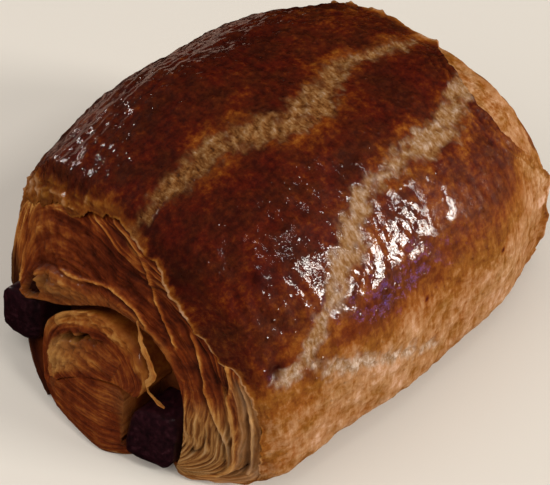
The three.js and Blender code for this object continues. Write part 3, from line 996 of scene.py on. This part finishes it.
# %% [markdown]
# The rolled leaves are the rest of the sheet. What shows of them is their cut edges, at the two
# ends of the roll. Steam and butter left them neither even nor flat: broad smooth folds where
# many leaves baked together, thin crests where one stands out, and a fan of loose cream leaves
# at the bottom right, where the sheet turns in towards the chocolate. Making each leaf a sheet of
# its own would take hundreds that cut each other, so they are relief on one body. Noise that
# is long along the sheet and short across it gives the small ones, and the crests that catch
# the eye follow lines.

# %% Crests of the two ends
CREST_HALF = 0.28  # mm: half the width of a crest that follows a line
HOLLOW_AT = 0.7  # mm from the crest to the hollow inside it
CREST_FADE = 6  # degrees over which a crest runs out

# Crests that stand out of the near end, as [angle, share of the sheet's thickness].
CRESTS = [
    [[84, 0.12], [90, 0.17], [95, 0.24], [101, 0.38], [107, 0.51], [118, 0.66], [135, 0.8]],
    [
        [124, 0.46], [132, 0.5], [144, 0.6], [155, 0.67], [166, 0.62], [172, 0.53], [180, 0.42],
        [201, 0.34],
    ],
    [
        [138, 0.3], [145, 0.3], [152, 0.33], [159, 0.41], [168, 0.41], [176, 0.37], [191, 0.33],
        [215, 0.3],
    ],
    [[148, 0.22], [157, 0.19], [168, 0.16], [181, 0.16], [196, 0.15]],
    [[58, 0.76], [73, 0.8], [90, 0.77], [104, 0.82], [118, 0.92]],
]

# The same for the far end.
FAR_CRESTS = [
    [[-8, 0.3], [12, 0.36], [34, 0.42], [58, 0.36], [80, 0.45], [104, 0.4], [126, 0.52], [140, 0.62]],
    [[48, 0.7], [72, 0.62], [96, 0.72], [120, 0.8], [150, 0.7], [176, 0.76], [204, 0.62]],
    [[112, 0.24], [134, 0.34], [156, 0.4], [178, 0.34], [206, 0.4]],
    [[6, 0.78], [26, 0.72], [42, 0.84], [60, 0.9]],
]


def crest_lines(lines, angle, share, thickness):
    """1 on the crests of an end, and 1 in the hollows beside them."""
    crest, hollow = np.zeros(share.shape), np.zeros(share.shape)
    for line in lines:
        first, last = line[0][0], line[-1][0]
        there = smooth(angle, first, first + CREST_FADE) * (1 - smooth(angle, last - CREST_FADE, last))
        aside = (share - look_up(line, angle)) * thickness
        crest = np.maximum(crest, bump(aside, 0, CREST_HALF) * there)
        hollow = np.maximum(hollow, bump(aside, HOLLOW_AT, 0.3) * there)
    return crest, hollow


print("crests:", len(CRESTS), "near and", len(FAR_CRESTS), "far")

# %% [markdown]
# The small leaves. Broad folds, loose crests, the even row of crests in the fan, the gaps and
# a fine roughness add up. Most leaves follow the sheet, but in much of the fold they lie
# level, so there the same noise runs level too.

# %% Relief of the leaves
LEAF_WIDTH = 0.95  # mm from one loose leaf to the next
LEVEL_ALONG, LEVEL_ACROSS = 300, 60  # mm: keeps the noise of level leaves clear of the rest
LEVEL_SLANT = 0.14  # how far they slope up to the right, as a share of their length


def leaf_relief(path, share, thickness, seed, fan, smoothness, level):
    """How far the leaves stand out in mm, how much of a crest each point is, the gaps, and how
    the leaves lie: level in some places, along the sheet in the others."""
    y, z = across_sheet(path, share)
    along = np.where(level, LEVEL_ALONG - y, path["along"])
    across = np.where(level, LEVEL_ACROSS + z + LEVEL_SLANT * y, share * thickness)
    waves = 0.9 * noise(along / 15, across / 5, seed)
    across = across + waves + 0.3 * noise(along / 5, across / 2.5, seed + 1)
    folds = noise(along / 30, across / 3.2, seed + 2)
    loose = creases(along / 22, across / 1.5, seed + 3)
    regular = (0.5 + 0.5 * np.cos(2 * np.pi * across / LEAF_WIDTH)) ** 1.6
    crest = mix(loose, regular, 0.6 * fan)
    crest = np.maximum(crest, 0.7 * creases(along / 9, across / 0.6, seed + 11))
    gaps = creases(along / 16, across / 2.6, seed + 4) ** 4
    gaps = gaps * smooth(noise(along / 9, across / 4, seed + 5), 0, 0.4)
    fine = 0.05 * rough(along / 3, across / 0.7, seed + 6)
    fine = fine + 0.05 * rough(along / 1.3, across / 1.3, seed + 8, 2)
    relief = mix(0.35, 0.15, smoothness) * folds + mix(0.36, 0.06, smoothness) * crest + fine
    relief = relief - 0.7 * gaps * (1 - 0.6 * smoothness)
    lie = {"along_mm": along, "across_mm": across, "plain": smoothness}
    return relief, crest * mix(1, 0.3, smoothness), gaps * (1 - 0.7 * smoothness), lie


across_21 = np.linspace(0, 1, 21)[None]
trial_leaves = leaf_relief(every_mm, across_21, 10, 61, 0, 0, False)[0]
print("small leaves, mm:", round(trial_leaves.min(), 1), "to", round(trial_leaves.max(), 1))

# %% [markdown]
# The near end is the one that shows best, so its parts are named one by one: the fan of loose
# leaves, the smooth panel beside it, the sheet's outer turn that wraps down smooth from the crust,
# the arch and the knob of the folded inner end, and the lobe that hangs from the lip. Above the
# left stick there are a hole, a curl of dough beside it and a nook over the lobe.

# %% Parts of the near end
CREASE_TURN = 0.5  # share of the fold's length at the crease between its low part and its knob

# Each as y, z, half width and half height in mm.
HOLE = (21, 21, 3.8, 2.4)
CURL = (26.6, 17.6, 2.4, 1.6)
NOOK = (16.4, 24.6, 2, 1.3)


def from_oval(y, z, oval):
    """How far a point is from the middle of an oval: 1 is on the oval."""
    middle_y, middle_z, half_width, half_height = oval
    return np.hypot((y - middle_y) / half_width, (z - middle_z) / half_height)


def near_parts(path, share):
    """How much each point of the near end belongs to its parts, from 0 to 1."""
    angle, turn = path["angle"], path["turn"]
    outer = turn == 0
    wrap_from = look_up([[80, 0.26], [105, 0.42]], angle)
    knob = bump(turn, 0.62, 0.13) * smooth(share, 0.3, 0.38) * (1 - smooth(share, 0.86, 1))
    return SimpleNamespace(
        outer=outer,
        fan=smooth(angle, 158, 178) * outer * smooth(share, 0.3, 0.45),
        panel=smooth(angle, 146, 156) * outer * (1 - smooth(share, 0.28, 0.36)),
        wrapped=outer * (1 - smooth(angle, 150, 172)) * smooth(share, wrap_from, wrap_from + 0.08),
        arch=smooth(turn, 0.56, 0.64) * (1 - smooth(share, 0.14, 0.24)),
        knob=knob * ~outer,
        lobe=bump(angle, 52, 20) * bump(share, 0.94, 0.1) * outer,
        above_lobe=bump(angle, 48, 14) * bump(share, 0.77, 0.04) * outer,
    )


trial_parts = near_parts(every_mm, across_21)
print("fan, as a share of the near end:", round(float(trial_parts.fan.mean()), 2))

# %% Relief of the near end, in mm
LINE_HEIGHT = 0.42
HOLLOW_DEPTH = 0.3
CREASE_DEPTH = 2.8
HOLE_DEPTH = 2
CURL_HEIGHT = 1.3
NOOK_DEPTH = 1.4
LOBE_HEIGHT = 1.3
UNDER_COVER = 1.4  # down to the leaves where the crust wraps over the near end


def covered(angle):
    """0 where the crust stops at the corner, and 1 where it wraps well over the near end."""
    return smooth(look_up(COVER, angle), 0.05, 0.12)


def near_forms(path, share, thickness, part):
    """The creases, the hole and the soft bumps of the near end."""
    turn, along = path["turn"], path["along"]
    y, z = across_sheet(path, share)
    crease = bump(turn, 0.72, 0.05) * bump(share + 0.07 * rough(y / 2.4, z / 2.4, 92, 2), 0.4, 0.05)
    crease = crease + 0.35 * bump(turn, CREASE_TURN, 0.012) * smooth(share, 0.05, 0.4)
    # The hole is a dent 2 mm deep, and its darkness is painted shade in the gap colour.
    hole = 1 - smooth(from_oval(y, z, HOLE) + 0.25 * noise(y / 1.3, z / 1.3, 79), 0.8, 1.15)
    bumpy = 1.3 * part.arch + 1.6 * part.knob + 1.3 * part.lobe
    curl = bump(from_oval(y, z, CURL), 0, 1) * part.outer
    bumpy = np.clip(bumpy + curl + 0.4 * part.panel + 0.4 * part.wrapped, 0, 1.6)
    lumps = 0.6 * rough(along / 2.4, share * thickness / 1.8, 77, 3)
    return SimpleNamespace(
        crease=crease, hole=hole * part.outer, curl=curl, lumps=lumps * bumpy,
        nook=bump(from_oval(y, z, NOOK), 0, 1) * part.outer,
        soft_folds=part.wrapped * noise(along / 26, share * thickness / 2.6, 90),
    )


trial_forms = near_forms(every_mm, across_21, 10, trial_parts)
lumps = trial_forms.lumps
print("soft bumps, mm:", round(lumps.min(), 1), "to", round(lumps.max(), 1))

# %% [markdown]
# Baking of the ends. Cream is the dough's inner colour, which shows where leaves opened late, and toast is
# how brown the rest is. The near end baked red-brown, and paler where a form stands out: the arch, the
# knob, the lip's edge and the curl. The tops of its lumps and soft folds are painted paler as painted
# light, and the hollow above the lobe is painted darker as painted shade. The far end met the oven's heat
# less evenly: the flap under the crust stayed pale.

# %% Baking of the near end


def near_baking(path, share, part, form, crest):
    """How much of the cream shows on the near end, and how brown the rest is."""
    angle, turn = path["angle"], path["turn"]
    y, z = across_sheet(path, share)
    edge = smooth(share, 0.84, 0.95) * part.outer * smooth(angle, 22, 40) * (1 - smooth(angle, 128, 150))
    wall = bump(turn, 0.19, 0.07) * smooth(share, 0.6, 0.85)
    cream = 0.85 * part.fan + 0.5 * part.panel + 0.3 * edge + 0.6 * wall + 0.6 * part.knob
    cream = cream + 0.3 * part.arch + 0.5 * part.lobe + 0.03
    toast = 0.86 - 0.3 * smooth(angle, 85, 35) * smooth(angle, -8, 8)
    toast = np.where(part.outer, toast - 0.15 * smooth(angle, 140, 165), 0.7)
    toast = toast - 0.4 * part.arch - 0.5 * part.knob - 0.14 * edge - 0.6 * form.curl
    # Painted light and shade: the tops of lumps and soft folds are painted paler, and the hollow above the
    # lobe darker.
    toast = toast + 0.12 * rough(y / 4, z / 4, 80) - 0.6 * crest - 0.35 * form.lumps
    toast = toast + 0.3 * part.above_lobe - 0.3 * form.soft_folds
    return {"cream": cream, "toast": toast - 0.06 * part.wrapped * smooth(angle, 70, 100)}


trial_toast = near_baking(every_mm, across_21, trial_parts, trial_forms, 0)["toast"]
print("how brown the near end is on average:", round(float(trial_toast.mean()), 2))

# %% Relief and baking of the two ends


def near_face(path, share, thickness):
    """Relief of the near end, and what its material reads."""
    angle, turn = path["angle"], path["turn"]
    part = near_parts(path, share)
    form = near_forms(path, share, thickness, part)
    smoothness = 0.9 * part.wrapped + 0.2 * part.arch + 0.3 * part.knob + 0.5 * part.panel
    smoothness = np.clip(smoothness + 0.8 * ~part.outer, 0, 1)
    level = (turn > 0) & ((turn < CREASE_TURN) | (turn < 0.86) & (share > 0.42))
    relief, crest, gaps, lie = leaf_relief(path, share, thickness, 61, part.fan, smoothness, level)
    crest, relief = crest * (1 - 0.7 * part.knob), relief * (1 - 0.5 * part.knob)
    line, hollow = (found * part.outer for found in crest_lines(CRESTS, angle, share, thickness))
    relief = relief + LINE_HEIGHT * line - HOLLOW_DEPTH * hollow
    relief = relief - CREASE_DEPTH * form.crease - HOLE_DEPTH * form.hole + CURL_HEIGHT * form.curl
    relief = relief - NOOK_DEPTH * form.nook + LOBE_HEIGHT * part.lobe - 0.9 * part.above_lobe
    relief = relief + form.lumps + 0.6 * form.soft_folds
    relief = mix(relief, 0, smooth(share, 0.82, 0.98) * (turn > 0) * (turn < 0.3))
    rim = look_up(COVER, angle)
    under_crust = (1 - smooth(share, rim - 0.08, rim + 0.01)) * part.outer * covered(angle)
    relief = mix(relief, -UNDER_COVER, under_crust)
    # Low on the left, by the left stick, the outer turn is painted dark as painted shade.
    foot_shade = 0.8 * part.outer * (1 - smooth(angle, 2, 11))
    values = {
        "crest": 0.15 + 0.75 * np.maximum(crest, line) + 0.3 * part.panel + 0.4 * part.knob,
        # Painted shade: the gaps, the crease, the hole, the nook and the hollows beside the crests are
        # painted dark.
        "painted_gap_shade": 0.9 * gaps + form.crease + form.hole + 0.6 * form.nook + 0.5 * hollow + foot_shade,
        **near_baking(path, share, part, form, np.clip(crest + line, 0, 1)),
    }
    return relief, {key: np.clip(value, 0, 1) for key, value in values.items()} | lie


def far_face(path, share, thickness):
    """Relief of the far end, and what its material reads."""
    outer = path["turn"] == 0
    flap = bump(share, 0.15, 0.3) * outer
    smoothness, level = np.full(share.shape, 0.45), np.zeros(share.shape, bool)
    relief, crest, gaps, lie = leaf_relief(
        path, share, thickness, 81, 0.25 + 0.5 * flap, smoothness, level,
    )
    line, hollow = (found * outer for found in crest_lines(FAR_CRESTS, path["angle"], share, thickness))
    y, z = across_sheet(path, share)
    lumps = rough(path["along"] / 7, share * thickness / 2.4, 83)
    toast = 0.7 - 0.3 * flap - 0.3 * crest - 0.4 * line - 0.2 * lumps + 0.25 * rough(y / 6, z / 6, 85)
    values = {
        "crest": 0.2 + 0.7 * np.maximum(crest, line), "cream": 0.25 + 0.4 * flap + 0.3 * line,
        # The gaps and the hollows beside the crests are painted dark as painted shade.
        "toast": toast, "painted_gap_shade": gaps + 0.5 * hollow,
    }
    relief = relief + 0.5 * lumps + 0.5 * line - 0.4 * hollow
    return relief, {key: np.clip(value, 0, 1) for key, value in values.items()} | lie


for side, face in (("near", near_face), ("far", far_face)):
    trial_relief = face(every_mm, across_21, 10)[0]
    print(side, "end, relief in mm:", round(trial_relief.min(), 1), "to", round(trial_relief.max(), 1))


# %% [markdown]
# The leaves follow the same sheet as the crust, from just under it. In the oven the arch of the
# fold swelled towards the lip, and the lip drooped onto it. Both are small shifts of the
# stations, so they are worked out once, before the loops.

# %% The leaves' sheet
FOLD_SPACING = 0.38  # mm between stations on the fold
LEAF_SPACING = 0.45  # mm on the outer turn
BELOW_CRUST = 0.35  # mm from the crust to the leaves at the rims
ARCH_SWELL = 3  # mm that the fold's arch rose towards the lip
LIP_DROOP = 2.6  # mm that the lip hangs down above the arch
FOLD_CLOSE = 0.5  # mm by which the two halves of the fold press into each other


def leaf_spacing(angle, turn):
    seen = smooth(angle, -40, -15)
    return np.where(turn > 0, FOLD_SPACING, mix(HIDDEN_SPACING, LEAF_SPACING, seen))


def leaf_sheet():
    """The leaves' stations, the points on both their faces, and how they fold and tuck in."""
    path = stations(leaf_spacing)
    angle, turn = path["angle"], path["turn"]
    outer = np.hstack([path["outer_y"], path["outer_z"]])
    inner = np.hstack([path["inner_y"], path["inner_z"]])
    sheet = np.linalg.norm(outer - inner, axis=1, keepdims=True)
    inward = BELOW_CRUST - ARCH_SWELL * bump(turn, 0.655, 0.11)
    outer = outer + (inner - outer) / sheet * inward
    thickness = sheet - inward
    droop = LIP_DROOP * bump(angle, 50, 26)
    folded = np.where(turn > 0.25, FOLD_CLOSE, (turn == 0) * droop) / thickness
    wrapped = covered(angle) * (turn == 0) * UNDER_COVER / thickness
    return SimpleNamespace(
        path=path, outer=outer, inner=inner, thickness=thickness, folded=folded, wrapped=wrapped,
    )


leaves_at = leaf_sheet()
thickest = leaves_at.thickness.max()
print("leaves:", len(leaves_at.outer), "stations, at most", round(thickest, 1), "mm thick")

# %% [markdown]
# Each station gives a loop that runs along under the crust, down over the far end, back along the
# inner face and up over the near end. The two ends carry the relief, pushed out along their own
# normals. Between the rims the loop sinks a little, so that no leaf can show through the crust.

# %% Faces of the leaves
SIDE_ROWS = 9
SUNK = 3  # mm half way along


def across_leaves(share):
    """The y and z of points across the leaves: share 0 is their outer side and 1 their inner."""
    outer, inner = leaves_at.outer, leaves_at.inner
    return mix(outer[:, :1], inner[:, :1], share), mix(outer[:, 1:], inner[:, 1:], share)


def end_face(reach, side, share, face):
    """Points of one end, their x, and their values; side is -1 at the near end and 1 at the far."""
    y, z = across_leaves(share)
    relief, values = face(leaves_at.path, share, leaves_at.thickness)
    done = (share - share[:, :1]) / (share[:, -1:] - share[:, :1])
    ends = smooth(done, 0, 0.02) * smooth(1 - done, 0, 0.02)
    flat = place(y, z, reach(y, z))
    normals = np.cross(np.gradient(flat, axis=0), np.gradient(flat, axis=1))
    normals[..., 0] += 0.02 * side * np.sign(side * normals[..., 0])
    normals /= side * np.sign(normals[..., :1]) * np.linalg.norm(normals, axis=-1, keepdims=True)
    points = flat + normals * (relief * mix(0.4, 1, ends))[..., None]
    return points, points[..., 0], values


def side_face(start, stop, sunk):
    """Points between the two ends and their x; sunk gives their share across the leaves."""
    share = np.linspace(0, 1, SIDE_ROWS + 2)[None, 1:-1]
    x = mix(start, stop, share - 0.12 * np.sin(2 * np.pi * share))
    y, z = across_leaves(sunk(share))
    return place(y, z, x), x


def under_crust(share):
    """How deep the leaves lie under the crust, as a share across them."""
    sunk = np.minimum(SUNK * np.sin(np.pi * share) ** 0.5 / leaves_at.thickness, 0.4)
    return sunk + leaves_at.wrapped * (1 - share)


half_way = under_crust(0.5) * leaves_at.thickness
print("leaves under the crust half way along, mm:", round(float(half_way.mean()), 1))

# %% [markdown]
# Put together, the faces make one closed body, and what the dough's material reads goes along.
# The two ends have values of their own, and the hidden sides get plain ones.

# %% Rolled leaves
NEAR_ROWS = 90
FAR_ROWS = 40


def make_leaves():
    folded, wrapped = leaves_at.folded, leaves_at.wrapped
    near_share = mix(wrapped, 1 + folded, np.linspace(0, 1, NEAR_ROWS)[None])
    far_share = np.linspace(0, 1, FAR_ROWS)[None] + 0 * wrapped
    near_points, near_x, near_values = end_face(near_end, -1, near_share, near_face)
    far_points, far_x, far_values = end_face(far_end, 1, far_share, far_face)
    top_points, top_x = side_face(near_x[:, :1], far_x[:, :1], under_crust)
    low_points, low_x = side_face(far_x[:, -1:], near_x[:, -1:], lambda share: 1 + folded * share)
    loops = np.hstack([top_points, far_points, low_points, near_points[:, ::-1]])
    plain = {
        "crest": 0.3, "cream": 0.25, "toast": 0.55, "painted_gap_shade": 0.15, "across_mm": 0, "plain": 0,
        "along_mm": leaves_at.path["along"],
    }
    values = {}
    for key, value in plain.items():
        top, low = value + 0 * top_x, value + 0 * low_x
        values[key] = np.hstack([top, far_values[key], low, near_values[key][:, ::-1]])
    values["row_mm"] = np.hstack([top_x, far_x, low_x, near_x[:, ::-1]])
    add_piece("rolled_leaves", loops, values, dough_finish, "egg_washed_crust", "pastry_roll")


make_leaves()

# %% [markdown]
# Behind the gaps between the turns is the crumb that fills the roll. It only shows as darkness with some
# dough in it, so it is a plain lumpy body, set back from each end. Its darkness is painted shade, and its
# upper right part is painted lighter as painted light.

# %% Crumb inside
CORE_CENTRE = np.array([0, 12])  # y, z in mm
CORE_DEPTH = 8  # mm back from an end
CORE_SIDES = 120
CORE_LOW = 1.5  # mm above the floor
CORE_REACH = 0.93  # share of the way from its centre to the crust
NEAR_RINGS, FAR_RINGS = 26, 14


def make_crumb():
    shares = np.concatenate([
        np.linspace(0.05, CORE_REACH, NEAR_RINGS), np.linspace(CORE_REACH, 0.05, FAR_RINGS),
    ])[:, None]
    near = (np.arange(NEAR_RINGS + FAR_RINGS) < NEAR_RINGS)[:, None]
    rim = outline(np.linspace(0, 360, CORE_SIDES, endpoint=False))[None]
    flat = CORE_CENTRE + (rim - CORE_CENTRE) * shares[..., None]
    y, z = flat[..., 0], np.maximum(flat[..., 1], CORE_LOW)
    depth = CORE_DEPTH * (1 - 0.55 * smooth(shares, 0.6, CORE_REACH)) + 0.5 * rough(y / 3, z / 3, 91)
    x = np.where(near, near_end(y, z) + depth, far_end(y, z) - depth)
    # Painted light: the upper right of the crumb gets less of the painted shade.
    lit = smooth(y, -6, -12) * smooth(z, 11, 16)
    values = {
        "painted_gap_shade": 0.85 - 0.5 * lit, "cream": 0.2, "toast": 0.6, "crest": 0.4, "plain": 0.5,
        "across_mm": y, "along_mm": z, "row_mm": x,
    }
    add_piece("crumb", place(y, z, x), values, dough_finish, "egg_washed_crust", "pastry_roll")


make_crumb()

# %% [markdown]
# A strand of dough. As the roll opened in the oven, one thin strip of a leaf pulled free of the
# lip and stayed stretched across the dark gap above the right stick. It is a narrow ribbon that
# twists, widest a little past its middle. A curve with a bevel would be quicker, but all of it
# would be equally thick, so an oval ring is swept along the curve by hand.

# %% Strand of dough
# Its middle, as [y, z, mm out from the near end].
STRAND = [
    [-9.6, 33.2, 0.5], [-11.6, 31.6, 1.2], [-13.4, 29.8, 1.3], [-15.2, 27.6, 1.2], [-15.7, 25.4, 1],
    [-14.9, 22.9, 0.8], [-16.2, 21, 0.6], [-18.3, 19.2, 0.2],
]
STRAND_ROWS = 90
STRAND_ROUND = 14
STRAND_HALF_WIDTH = 0.34  # mm, at its narrowest
STRAND_HALF_THICKNESS = 0.16


def make_strand():
    share = np.linspace(0, 1, STRAND_ROWS)
    y, z, out = spline(STRAND, share).T
    y = y + 0.25 * noise(share * 14, 0.5, 127)
    middle = np.stack([near_end(y, z) - out, y, z], -1)
    forward = np.gradient(middle, axis=0)
    forward /= np.linalg.norm(forward, axis=1, keepdims=True)
    side = np.cross(forward, [-1, 0, 0])
    side /= np.linalg.norm(side, axis=1, keepdims=True)
    up = np.cross(side, forward)
    twist = (0.9 * np.sin(5 * share) + 0.3 * noise(share * 7, 0.5, 121))[:, None]
    wide = STRAND_HALF_WIDTH + 0.36 * bump(share, 0.6, 0.25) + 0.2 * rough(share * 13, 0.5, 123)
    thin = STRAND_HALF_THICKNESS + 0.06 * noise(share * 20, 0.5, 125)
    ring = np.linspace(0, 2 * np.pi, STRAND_ROUND, endpoint=False)[None, :, None]
    across = (side * np.cos(twist) + up * np.sin(twist)) * wide[:, None]
    facing = (up * np.cos(twist) - side * np.sin(twist)) * thin[:, None]
    loops = middle[:, None] + across[:, None] * np.cos(ring) + facing[:, None] * np.sin(ring)
    aside = np.cos(ring[..., 0])
    values = {
        "painted_gap_shade": 0, "cream": 0.4, "plain": 0, "crest": 0.5 + 0.2 * aside,
        "toast": 0.2 + 0.2 * noise(share * 9, 0.5, 129)[:, None],
        "across_mm": aside, "along_mm": 20 * share[:, None], "row_mm": middle[:, :1],
    }
    add_piece("dough_strand", loops, values, dough_finish, "egg_washed_crust", "pastry_roll")


make_strand()

# %% [markdown]
# Sticks of chocolate. Each is a moulded bar with rounded corners, that softened in the oven and
# set again. The left one broke off aslant where it stands out of the near end. A cube with a
# bevel would be too true, so rounded rings run along the stick, swelling and shrinking a little,
# and close in over a few small steps at its two ends.

# %% Sticks of chocolate
STICK_WIDTH = 8.8  # mm
STICK_HEIGHT = 12.4
STICK_SQUARENESS = 4.6
HALF_STICK = 50
STICK_SIDES = 72
STICK_ROWS = 90
TIP_SCALES = np.array([0.1, 0.3, 0.5, 0.68, 0.82, 0.92, 0.975])
TIP_ROUNDING = 0.8  # mm
DIMPLES = 0.18  # mm

# Where the middle of each is at either end, as y, z in mm, and how much it leans.
RIGHT_STICK = {"near": (-15.9, 8.2), "far": (-18, 12.6), "lean": 0}
LEFT_STICK = {"near": (22.9, 10.4), "far": (21, 10.6), "lean": -0.12}


def left_break(y, z):
    """How far the left stick's broken end is set back from a straight one."""
    aside = y - LEFT_STICK["near"][0]
    return 0.4 - 0.2 * aside + 0.35 * np.maximum(-1 - aside, 0) + 0.12 * (z - LEFT_STICK["near"][1])


def right_break(y, z):
    """The same for the right one, which ends about level with the near end."""
    return near_end(y, np.maximum(z, 5)) + HALF_STICK - 0.6 + 0.12 * z


def make_stick(name, stick, near_reach, far_reach, seed):
    tip = len(TIP_SCALES)
    scale = np.concatenate([TIP_SCALES, np.ones(STICK_ROWS), TIP_SCALES[::-1]])[:, None]
    share = np.concatenate([np.zeros(tip), np.linspace(0, 1, STICK_ROWS), np.ones(tip)])[:, None]
    corner = np.linspace(0, 2 * np.pi, STICK_SIDES, endpoint=False)[None, :]
    x = HALF_STICK * (2 * share - 1)
    swell = 1 + 0.012 * np.sin(0.09 * x + stick["near"][0])
    wear = 1 + 0.012 * rough(x / 6, corner * 3, seed)
    reach_y = power(np.cos(corner), 2 / STICK_SQUARENESS) * STICK_WIDTH / 2 * scale * swell * wear
    reach_z = power(np.sin(corner), 2 / STICK_SQUARENESS) * STICK_HEIGHT / 2 * scale * swell * wear
    y = mix(stick["near"][0], stick["far"][0], share) + reach_y + stick["lean"] * reach_z
    z = mix(stick["near"][1], stick["far"][1], share) + reach_z
    outward = (share == 1) * 1 - (share == 0) * 1
    x = x + near_reach(y, z) * (1 - smooth(share, 0, 0.12)) + far_reach * smooth(share, 0.9, 1)
    x = x + outward * TIP_ROUNDING * (1 - scale**6)
    x = x + outward * DIMPLES * rough(y / 1.8, z / 1.8, seed + 5)
    loops = np.stack(np.broadcast_arrays(x, y, z), -1)
    node_name = "chocolate_stick_" + name.split("_")[0]
    add_piece(name, loops, {}, chocolate_finish, "dark_chocolate", node_name)


make_stick("left_stick", LEFT_STICK, left_break, -2, 101)
make_stick("right_stick", RIGHT_STICK, right_break, 3, 111)

# %% [markdown]
# Floor and light. The floor is plain, pale and matt. The gloss of the egg wash is only as good as
# what it mirrors, so three soft boxes of different sizes, two on the right and a small one on the
# left, stand where they give the crust its highlights, with a small lamp over it for the sparks.
# Two faint coloured glows put the warm and the violet sheen at the edges of those. A broad light
# overhead and a little light from all round fill in the rest, but the gloss doesn't mirror them
# or the floor, which would lay a grey veil over the brown.

# %% Floor
FLOOR_SIZE = 3.2  # m
FLOOR_COLOUR = "#d9d6d0"
floor_mesh = bpy.data.meshes.new("floor")
corners = [(x * FLOOR_SIZE / 2, y * FLOOR_SIZE / 2, 0) for x, y in ((-1, -1), (1, -1), (1, 1), (-1, 1))]
floor_mesh.from_pydata(corners, [], [(0, 1, 2, 3)])
floor = bpy.data.objects.new("floor", floor_mesh)
bpy.context.scene.collection.objects.link(floor)
floor.visible_glossy = False
floor_finish, floor_tree = new_material("pale_floor")
floor_paint = node(floor_tree, "ShaderNodeBsdfPrincipled", {
    "Base Color": linear(FLOOR_COLOUR), "Roughness": 0.8,
})
node(floor_tree, "ShaderNodeOutputMaterial", {"Surface": floor_paint})
floor_mesh.materials.append(floor_finish)
print("floor, m:", FLOOR_SIZE)

# %% Lights
LIT_POINT = (0, 0, 0.03)  # m, the middle of the roll
AWAY = 3  # m from there to the lights
OVERHEAD_AWAY = 1.2
SKY_COLOUR = "#f2eae2"
SKY_STRENGTH = 0.32


def soft_box(name, towards, distance, width, height, watts, colour, mirrored=True):
    """An area light that shines on the roll from a direction; gloss may show it or not."""
    light = bpy.data.lights.new(name, "AREA")
    light.shape = "RECTANGLE"
    light.size, light.size_y = width, height
    light.energy = watts
    light.color = linear(colour)[:3]
    lamp = bpy.data.objects.new(name, light)
    bpy.context.scene.collection.objects.link(lamp)
    away = Vector(towards).normalized()
    lamp.location = Vector(LIT_POINT) + away * distance
    lamp.rotation_mode = "QUATERNION"
    lamp.rotation_quaternion = away.to_track_quat("Z", "Y")
    lamp.visible_glossy = mirrored


soft_box("window_low", (0.5, -0.8, 0.34), AWAY, 0.6, 0.78, 66, "#fff8ee")
soft_box("window_high", (0.22, -0.66, 0.72), AWAY, 0.36, 0.6, 27, "#fff8ee")
soft_box("window_left", (-0.13, 0.94, 0.22), AWAY, 0.24, 0.16, 7, "#fff4ee")
soft_box("glow_left", (0.3, 0.93, -0.16), AWAY, 2.1, 0.6, 2.6, "#f6ccb6")
soft_box("lamp", (0.1, -0.15, 0.98), AWAY, 0.12, 0.12, 2.4, "#fff4ee")
soft_box("glow_right", (0.54, -0.83, -0.14), AWAY, 0.5, 0.16, 2.6, "#8c7cff")
soft_box("overhead", (-0.5, 0.1, 0.85), OVERHEAD_AWAY, 1.5, 1.5, 9.5, "#fff8f0", mirrored=False)
world = bpy.data.worlds.new("studio")
bpy.context.scene.world = world
world.use_nodes = True
background = world.node_tree.nodes["Background"]
background.inputs["Color"].default_value = linear(SKY_COLOUR)
background.inputs["Strength"].default_value = SKY_STRENGTH
world.cycles_visibility.glossy = False
bpy.context.scene.view_settings.view_transform = "Standard"
print("lights:", len(bpy.data.lights))
